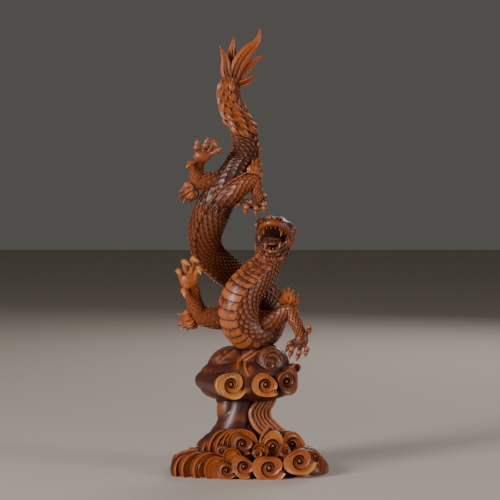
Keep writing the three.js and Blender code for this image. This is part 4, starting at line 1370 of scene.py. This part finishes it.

# %% [markdown]
# The waist isn't a plain post: on its right nested ribs of rising cloud curve like blown smoke, and on
# its left stand two smooth rolls, one before the other. Over the front of the upper bank run two lips,
# the edges of one sheet of cloud folded over another, and gouged lines lead beside them and round the
# humps. Lips and lines are drawn from the front, so their depth is found by sending a ray from the
# front onto the masses.

# %% Rising ribs and lips
all_cloud = []
offset = 0
for shape_points, shape_triangles in masses_of_cloud + shells:
    all_cloud.append((shape_points, shape_triangles + offset))
    offset += len(shape_points)
front_of_cloud = BVHTree.FromPolygons(
    np.concatenate([p for p, _ in all_cloud]).tolist(), np.concatenate([t for _, t in all_cloud]).tolist()
)


def laid(line, half, deeper=0.0):
    """A tapering ridge along x, z places drawn from the front, laid on the clouds behind them."""
    smooth, _ = through(line, np.linspace(0, 1, 4 * len(line)))
    stops = []
    for share, (x, z) in zip(np.linspace(0, 1, len(smooth)), smooth.tolist()):
        hit = front_of_cloud.ray_cast(Vector((x, -99, z)), Vector((0, 1, 0)))[0]
        if hit is not None:
            stops.append((x, hit.y + deeper, z, half * (0.25 + 0.75 * math.sin(math.pi * share) ** 0.5)))
    return taper(stops, 3 * len(stops), 8)


LIPS = [
    [(4.2, 59), (1.8, 58.2), (-0.7, 56.4), (-3.9, 54.2), (-5.4, 52.4), (-5.8, 49.6)],
    [(4.4, 57.6), (2.9, 56.7), (0.4, 54.9), (-1.8, 53.2), (-2.3, 51.2), (-1.8, 49), (-0.4, 46.6)],
]
lips = [laid(line, 0.6) for line in LIPS]
# two beside the lips, two down the left hump and three round the right one
GOUGES = [
    [(5, 56.4), (3.4, 55.6), (1, 53.9), (-0.9, 52.4), (-1.2, 50.6), (-0.6, 48.4)],
    [(2.4, 57.4), (0, 55.7), (-3, 53.6), (-4, 52), (-4, 50)],
    [(-7, 58.6), (-12, 55.6), (-16, 51.6)],
    [(-9, 59.4), (-13.4, 57), (-17.4, 53)],
    [(5.6, 53), (6.6, 56.4), (9.6, 58.8), (13, 58.2), (15.6, 55.4), (16.6, 51.6)],
    [(6.2, 51.4), (7.2, 55), (9.8, 57), (12.6, 56.4), (14.6, 53.8), (15.2, 50.6)],
    [(7, 50.6), (8, 53.8), (10, 55.2), (12, 54.6), (13.4, 52.6), (13.6, 50)],
]
gouges = [laid(line, 0.4, -0.1) for line in GOUGES]
RIBS = 6
RIB_HALVES = (1, 1.05, 1.05, 1.1, 1.25, 1.1)
rising = []
for i in range(RIBS):
    # the ribs nest: each next one stands further right and further back, and flares more at its foot
    across, back = 1.7 * i, 0.5 * i + 0.16 * i * i
    stops = [
        (4.6 + 1.5 * i, -10.4 + back, 36),
        (2.2 + across, -11.2 + back, 32.4),
        (0.4 + across, -11.6 + back, 29.4),
        (0.6 + across, -11.8 + back, 26),
        (2.6 + 1.15 * across, -12.8 + back, 22.4),
        (6 + 1.6 * across, -14.6 + back, 18.8 - 0.5 * i),
    ]
    rising.append(taper([(*stop, half) for stop, half in zip(stops, RIB_HALVES)], 24, 8))
LEFT_ROLL = [
    (-7, -3, 40, 5), (-8.6, -3.6, 35, 5.6), (-9.8, -4, 30, 6), (-9.4, -4.4, 25, 5.6), (-8, -4, 18, 5),
    (-7, -2, 10, 3),
]
MIDDLE_ROLL = [
    (-3, -3, 40, 8), (-3.4, -3.6, 34, 7.6), (-4.4, -4, 29, 7.6), (-6, -4.2, 24, 8.4), (-8, -3, 17, 9.4),
    (-8, -1, 8, 6),
]
# a ribbon of cloud that leads from the ribs' foot down between the scrolls
RIBBON = [(8.6, -15.5, 23, 0.9), (6.6, -18.8, 20, 1), (5, -21.8, 16.4, 1), (4.4, -24, 12.6, 0.6)]
rolls = [taper(LEFT_ROLL, 20, 24), taper(MIDDLE_ROLL, 20, 28)]
ribbon = taper(RIBBON, 24, 10)
details = [*lips, *rising, *rolls, ribbon]
print("lips:", len(lips), "rising ribs:", len(rising))

# %% [markdown]
# ## One carving
# Everything is fused at once and cut flat on the floor, so that dragon and clouds are one skin, as they
# are one piece of wood. The new skin replaces the plain solid, which stays in the frame for its weight
# and for what it touches.

# %% Fuse the whole work
BLOCK_HALF, BLOCK_DEPTH = 99, 40  # what lies under the floor is cut off with a block this wide and deep
CORNERS = ((-1, -1), (1, -1), (1, 1), (-1, 1))

clouds = [*masses_of_cloud, *scrolls, *shells, *details]
dragon = [neck_and_coil, web, tail, *tail_locks, belly, *fins, *limb_coats, *hands, *tufts, *flames]
dragon += [head, *mouth, *eyes, *hair]
block = skin([[(x * BLOCK_HALF, y * BLOCK_HALF, z) for x, y in CORNERS] for z in (-BLOCK_DEPTH, 0)])
points, triangles = fused(dragon + clouds, [block, *gouges], "carving")
print("the fused carving has", len(triangles), "triangles")
print("it reaches from", points.min(axis=0).round(2), "to", points.max(axis=0).round(2))

# %% [markdown]
# The skin becomes an object at the origin, with its place in its mesh. Faces are shaded smooth, but an
# edge sharper than 34 degrees stays crisp: a knife leaves clean arrises between smooth facets.

# %% The piece
SHARP = math.radians(34)

mesh = to_mesh(points * MM, triangles, "dragon and clouds")
mesh.shade_smooth()
mesh.set_sharp_from_angle(angle=SHARP)
carving = bpy.data.objects.new("carved_dragon", mesh)
bpy.context.scene.collection.objects.link(carving)
print("vertices:", len(mesh.vertices))

# %% [markdown]
# ## Reading the surface
# The hollows are darkened with painted shade over old wax, and hands rub the high edges bright. Two
# numbers at every point tell the finish where that is. The first, hollow, comes from short rays sent out
# of the surface: the more of them hit wood again, the deeper the point lies and the more shade is painted
# there. The second, wear, is the mean bend of the surface round a point, positive on ridges and tips.


# %% Hollows and worn edges
RAY_LENGTH = 7.0
RAYS = 14
RAY_LIFT = 0.08  # rays start this far off the surface, so that they don't hit it at once
GOLDEN_ANGLE = 2.399963
WEAR_GAIN = 3.0


def directions_over_half_ball(count):
    """Evenly spread directions round +Z, closer together near it."""
    turns = np.arange(count) * GOLDEN_ANGLE
    height = np.sqrt((np.arange(count) + 0.5) / count)
    flat = np.sqrt(1 - height**2)
    return np.stack([flat * np.cos(turns), flat * np.sin(turns), height], -1)


def vertex_normals(points, triangles):
    a, b, c = points[triangles].transpose(1, 0, 2)
    facing = np.cross(b - a, c - a)
    normals = np.zeros_like(points)
    for corner in triangles.T:
        np.add.at(normals, corner, facing)
    return unit(normals)


def spread(values, triangles, rounds):
    """Blurs values over the surface: each point takes the mean of its triangles."""
    for _ in range(rounds):
        of_triangle = values[triangles].mean(axis=1)
        total, count = np.zeros_like(values), np.zeros_like(values)
        for corner in triangles.T:
            np.add.at(total, corner, of_triangle)
            np.add.at(count, corner, 1)
        values = total / np.maximum(count, 1)
    return values


def hollows(points, triangles, normals):
    tree = BVHTree.FromPolygons(points.tolist(), triangles.tolist())
    side = unit(np.cross(normals, np.where(np.abs(normals[:, :1]) < 0.7, [[1, 0, 0]], [[0, 1, 0]])))
    other = np.cross(normals, side)
    found = np.zeros(len(points))
    starts = [Vector(p) for p in (points + normals * RAY_LIFT).tolist()]
    for x, y, z in directions_over_half_ball(RAYS):
        rays = (side * x + other * y + normals * z).tolist()
        for i, ray in enumerate(rays):
            distance = tree.ray_cast(starts[i], Vector(ray), RAY_LENGTH)[3]
            if distance is not None:
                found[i] += 1 - distance / RAY_LENGTH
    return found / RAYS


def bends(points, triangles, normals):
    """How far neighbours lie below a point's tangent plane, in proportion to their distance."""
    total, count = np.zeros(len(points)), np.zeros(len(points))
    for i, j in ((0, 1), (1, 2), (2, 0), (1, 0), (2, 1), (0, 2)):
        here, there = triangles[:, i], triangles[:, j]
        step = points[there] - points[here]
        drop = -np.sum(unit(step) * normals[here], axis=1)
        np.add.at(total, here, drop)
        np.add.at(count, here, 1)
    return total / np.maximum(count, 1)


normals = vertex_normals(points, triangles)
# hollow sets where shade is painted in the finish, and where the polish is dull
hollow = spread(hollows(points, triangles, normals), triangles, 1)
# painted shade in the open mouth: every point inside it is darkened at least this much, and its polish
# dulled
MOUTH_MIDDLE, MOUTH_RADII, MOUTH_HOLLOW = (11, -12, 110.6), (5.4, 8, 4.4), 0.6
in_mouth = np.linalg.norm((points - MOUTH_MIDDLE) / MOUTH_RADII, axis=1) < 1
hollow = np.where(in_mouth, np.maximum(hollow, MOUTH_HOLLOW), hollow)
wear = np.clip(spread(bends(points, triangles, normals), triangles, 1) * WEAR_GAIN, -1, 1)
print(f"hollow: mean {hollow.mean():.2f}, deepest {hollow.max():.2f}; wear: mean {wear.mean():.2f}")

# %% [markdown]
# The third number, gold, is the maker's choice: the stain was rubbed away from claws, tufts, flames and
# scroll faces until the paler wood shone through, more on some than on others, and a little from the
# scales. Each of those shapes gives its points a strength, and the fused skin takes the strength of the
# nearest one.


# %% Rubbed parts
GOLD_REACH = 0.8  # a point of the fused skin looks this far for a rubbed shape
# how far each limb's hand and tuft was rubbed back
HAND_RUBBED, HAND_LENGTH = (0.7, 0.08, 0.3, 0.12), 7.5
TUFT_RUBBED, TUFT_LENGTH = (0.42, 0.62, 0.2, 0.45), 9
ARM_RUBBED, ARM_LENGTH = 0.26, 20
BODY_RUBBED = 0.12
TAIL_RUBBED, TAIL_FROM, TAIL_FADE = 0.26, 156, 10
FLAME_RUBBED, FLAME_ROOT, FLAME_LENGTH = 0.5, (-8, 0, 181), 24
FACE_DEPTH = 1.1  # a scroll's face reaches this deep, and a shell's rim and dish the next
SHELL_RUBBED, RIM_DEPTH = 0.5, 1.3
LOG_SIDE = -1  # the side of a log lies deep between its neighbours and kept all its stain
LIP_RUBBED, JAW_RUBBED, CURL_RUBBED = 0.3, 0.34, 0.25
gold_points, gold_values = [], []


def rub(shape, strength):
    """Notes how far a shape was rubbed back: one strength, or one for each of its points."""
    gold_points.append(shape[0])
    gold_values.append(np.broadcast_to(strength, len(shape[0])))


def away_from(place, reach, shape):
    """A share for each point that grows from 0 at a place to 1 at a distance from it."""
    return np.clip(np.linalg.norm(shape[0] - np.asarray(place), axis=1) / reach, 0, 1)


def depth_behind(at, facing, shape):
    return (np.asarray(at) - shape[0]) @ facing_axes(facing)[0]


for limb, coat_of_limb in zip(LIMBS.values(), limb_coats):
    rub(coat_of_limb, ARM_RUBBED * away_from(limb["bones"][0][:3], ARM_LENGTH, coat_of_limb))
rub(neck_and_coil, BODY_RUBBED)
for limb, one_hand, strength in zip(LIMBS.values(), hands, HAND_RUBBED):
    rub(one_hand, strength * (0.45 + 0.55 * away_from(limb["palm"][0], HAND_LENGTH, one_hand)))
pieces_each = len(tufts) // len(LIMBS)
for i, piece in enumerate(tufts):
    limb = list(LIMBS.values())[i // pieces_each]
    strength = TUFT_RUBBED[i // pieces_each]
    rub(piece, strength * (0.4 + 0.6 * away_from(limb["tuft"][0], TUFT_LENGTH, piece)))
for piece in [tail, *tail_locks]:
    rub(piece, TAIL_RUBBED * np.clip((piece[0][:, 2] - TAIL_FROM) / TAIL_FADE, 0, 1))
for flame in flames:
    rub(flame, FLAME_RUBBED * away_from(FLAME_ROOT, FLAME_LENGTH, flame))
for (at, radius, facing, *_, strength), one_scroll in zip(SCROLLS, scrolls):
    towards_rim = 0.6 + 0.9 * away_from(at, 0.8 * radius, one_scroll) ** 3
    on_face = depth_behind(at, facing, one_scroll) < FACE_DEPTH
    rub(one_scroll, np.where(on_face, strength * towards_rim, LOG_SIDE))
for (at, _, facing, _), one_shell in zip(SHELLS, shells):
    rub(one_shell, np.where(depth_behind(at, facing, one_shell) < RIM_DEPTH, SHELL_RUBBED, LOG_SIDE))
for lip in lips:
    rub(lip, LIP_RUBBED)
rub(taper(UPPER_LIP, 40, 12), JAW_RUBBED)
for one_curl in curls:
    rub(one_curl, CURL_RUBBED)

gold_points, gold_values = np.concatenate(gold_points), np.concatenate(gold_values)
finder = KDTree(len(gold_points))
for i, place in enumerate(gold_points.tolist()):
    finder.insert(place, i)
finder.balance()
gold = np.zeros(len(points))
for i, place in enumerate(points.tolist()):
    _, nearest, distance = finder.find(place)
    if distance < GOLD_REACH:
        gold[i] = gold_values[nearest] * (1 - distance / GOLD_REACH)
wear[gold < 0] = 0
gold = spread(np.maximum(gold, 0), triangles, 1)
for name, values in (("hollow", hollow), ("wear", wear), ("gold", gold)):
    mesh.attributes.new(name, "FLOAT", "POINT").data.foreach_set("value", values)
print(f"gold: on {100 * np.mean(gold > 0.1):.0f}% of the points")

# %% [markdown]
# ## The finish
# Boxwood is dense and nearly without grain, so it takes cuts as fine as a fingernail's edge. This one
# was stained red-brown, then waxed and polished: a soft, warm sheen with sharp small highlights, dark
# in the cuts, where shade is painted over the wax, and golden on what the hand touches. Colours are
# written as sRGB hex values, as a painter's chart gives them, and one function turns them linear.


# %% Colour and nodes
def linear(hex_colour):
    """An sRGB hex colour as linear RGBA."""
    parts = [int(hex_colour[i : i + 2], 16) / 255 for i in (1, 3, 5)]
    return (*(p / 12.92 if p <= 0.04045 else ((p + 0.055) / 1.055) ** 2.4 for p in parts), 1.0)


# the near black of the painted shade in hollows and between parts, over old wax
DEEP_WAX_AND_SHADE = "#200b07"
STAIN_DARK = "#33140d"
STAIN_LIGHT = "#542416"
STAIN_WORN = "#b06033"
WOOD_ORANGE = "#aa551f"
WOOD_GOLDEN = "#cf8b40"
GRAIN_WIDTH = 0.9 * MM
GRAIN_STRETCH = 1 / 0.12
BLOTCH_WIDTH = 14 * MM
KNIFE_MARK = 1.4 * MM
MIX_A, MIX_B, MIX_COLOUR = 6, 7, 2  # the numbers of a Mix node's colour sockets


def stained_boxwood():
    material = bpy.data.materials.new("stained and waxed boxwood")
    material.use_nodes = True
    tree = material.node_tree
    tree.nodes.clear()
    place = add_node(tree, "ShaderNodeTexCoord")
    hollow = add_node(tree, "ShaderNodeAttribute", attribute_name="hollow")
    wear = add_node(tree, "ShaderNodeAttribute", attribute_name="wear")
    gold = add_node(tree, "ShaderNodeAttribute", attribute_name="gold")
    # the stain took unevenly: blotches between a darker and a lighter red-brown
    blotches = add_node(
        tree,
        "ShaderNodeTexNoise",
        {"Vector": place.outputs["Object"], "Scale": 1 / BLOTCH_WIDTH, "Detail": 4},
    )
    blotch = add_node(
        tree, "ShaderNodeMapRange", {"Value": blotches.outputs["Fac"], "From Min": 0.35, "From Max": 0.65}
    )
    stain = add_node(
        tree,
        "ShaderNodeMix",
        {"Factor": blotch.outputs["Result"], MIX_A: linear(STAIN_DARK), MIX_B: linear(STAIN_LIGHT)},
        data_type="RGBA",
    )
    # it was rubbed thin on every ridge
    ridge = add_node(
        tree, "ShaderNodeMapRange", {"Value": wear.outputs["Fac"], "From Min": 0.15, "From Max": 0.5}
    )
    worn = add_node(
        tree,
        "ShaderNodeMix",
        {"Factor": ridge.outputs["Result"], MIX_A: stain.outputs[MIX_COLOUR], MIX_B: linear(STAIN_WORN)},
        data_type="RGBA",
    )
    # and rubbed away on purpose where gold says so: first to orange, then to the pale wood
    first_half = add_node(
        tree, "ShaderNodeMapRange", {"Value": gold.outputs["Fac"], "From Min": 0.0, "From Max": 0.5}
    )
    orange = add_node(
        tree,
        "ShaderNodeMix",
        {
            "Factor": first_half.outputs["Result"],
            MIX_A: worn.outputs[MIX_COLOUR],
            MIX_B: linear(WOOD_ORANGE),
        },
        data_type="RGBA",
    )
    second_half = add_node(
        tree, "ShaderNodeMapRange", {"Value": gold.outputs["Fac"], "From Min": 0.5, "From Max": 1.0}
    )
    rubbed = add_node(
        tree,
        "ShaderNodeMix",
        {
            "Factor": second_half.outputs["Result"],
            MIX_A: orange.outputs[MIX_COLOUR],
            MIX_B: linear(WOOD_GOLDEN),
        },
        data_type="RGBA",
    )
    # painted shade over old wax: the hollows, cuts and gaps between parts are darkened towards near black,
    # as shade falls there
    depth = add_node(
        tree,
        "ShaderNodeMapRange",
        {"Value": hollow.outputs["Fac"], "From Min": 0.33, "From Max": 0.78, "To Max": 0.88},
    )
    waxed_and_shaded = add_node(
        tree,
        "ShaderNodeMix",
        {"Factor": depth.outputs["Result"], MIX_A: rubbed.outputs[MIX_COLOUR], MIX_B: linear(DEEP_WAX_AND_SHADE)},
        data_type="RGBA",
    )
    # grain: narrow across the log and eight times longer up it
    stretched = add_node(
        tree, "ShaderNodeMapping", {"Vector": place.outputs["Object"], "Scale": (1, 1, 1 / GRAIN_STRETCH)}
    )
    grain = add_node(
        tree,
        "ShaderNodeTexNoise",
        {"Vector": stretched.outputs["Vector"], "Scale": 1 / GRAIN_WIDTH, "Detail": 3, "Roughness": 0.6},
    )
    grain_light = add_node(
        tree,
        "ShaderNodeMapRange",
        {"Value": grain.outputs["Fac"], "From Min": 0.3, "From Max": 0.7, "To Min": 0.78, "To Max": 1.1},
    )
    grained = add_node(
        tree,
        "ShaderNodeMix",
        {"Factor": 1.0, MIX_A: waxed_and_shaded.outputs[MIX_COLOUR], MIX_B: grain_light.outputs["Result"]},
        data_type="RGBA",
        blend_type="MULTIPLY",
    )
    knife = add_node(
        tree, "ShaderNodeTexNoise", {"Vector": place.outputs["Object"], "Scale": 1 / KNIFE_MARK, "Detail": 2}
    )
    relief = add_node(
        tree, "ShaderNodeBump", {"Height": knife.outputs["Fac"], "Strength": 0.5, "Distance": 0.3 * MM}
    )
    # the polish reached the high parts, and the hollows stayed dull
    dullness = add_node(
        tree,
        "ShaderNodeMapRange",
        {"Value": hollow.outputs["Fac"], "From Max": 0.5, "To Min": 0.4, "To Max": 0.66},
    )
    shader = add_node(
        tree,
        "ShaderNodeBsdfPrincipled",
        {
            "Base Color": grained.outputs[MIX_COLOUR],
            "Roughness": dullness.outputs["Result"],
            "IOR": 1.5,
            "Specular IOR Level": 0.4,
            "Coat Weight": 0.12,
            "Coat Roughness": 0.2,
            "Normal": relief.outputs["Normal"],
        },
    )
    add_node(tree, "ShaderNodeOutputMaterial", {"Surface": shader.outputs["BSDF"]})
    return material


mesh.materials.append(stained_boxwood())
print("material:", mesh.materials[0].name)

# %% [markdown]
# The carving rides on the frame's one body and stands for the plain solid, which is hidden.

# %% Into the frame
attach(carving, "root")
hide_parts("dragon_carving")
print("the carving stands for the plain solid")

# %% [markdown]
# ## Floor and light
# A plain pale floor and soft studio light: one large softbox high on the left, a weaker one on the
# right, and one behind to draw the outline.


# %% Studio
def flat_material(name, colour, roughness):
    material = bpy.data.materials.new(name)
    material.use_nodes = True
    shader = material.node_tree.nodes["Principled BSDF"]
    shader.inputs["Base Color"].default_value = linear(colour)
    shader.inputs["Roughness"].default_value = roughness
    return material


FLOOR_HALF = 3.0
floor_mesh = bpy.data.meshes.new("floor")
floor_mesh.from_pydata([(x * FLOOR_HALF, y * FLOOR_HALF, 0) for x, y in CORNERS], [], [(0, 1, 2, 3)])
floor = bpy.data.objects.new("floor", floor_mesh)
floor_mesh.materials.append(flat_material("pale floor", "#c0b2a7", 0.85))
bpy.context.scene.collection.objects.link(floor)

world = bpy.data.worlds.new("studio")
world.use_nodes = True
world.node_tree.nodes["Background"].inputs["Color"].default_value = linear("#d6d2cb")
world.node_tree.nodes["Background"].inputs["Strength"].default_value = 0.13
bpy.context.scene.world = world


def softbox(name, place, width, height, watts, aim=(0, 0, 0.1)):
    data = bpy.data.lights.new(name, "AREA")
    data.shape = "RECTANGLE"
    data.size = width
    data.size_y = height
    data.energy = watts
    light = bpy.data.objects.new(name, data)
    light.location = place
    light.rotation_euler = (Vector(aim) - Vector(place)).to_track_quat("-Z", "Y").to_euler()
    bpy.context.scene.collection.objects.link(light)
    return light


softbox("key", (-0.66, -0.6, 0.36), 0.24, 0.4, 9.5)
softbox("fill", (0.75, -0.4, 0.3), 0.16, 0.4, 3)
softbox("rim", (0.3, 0.7, 0.5), 0.5, 0.3, 2.5)
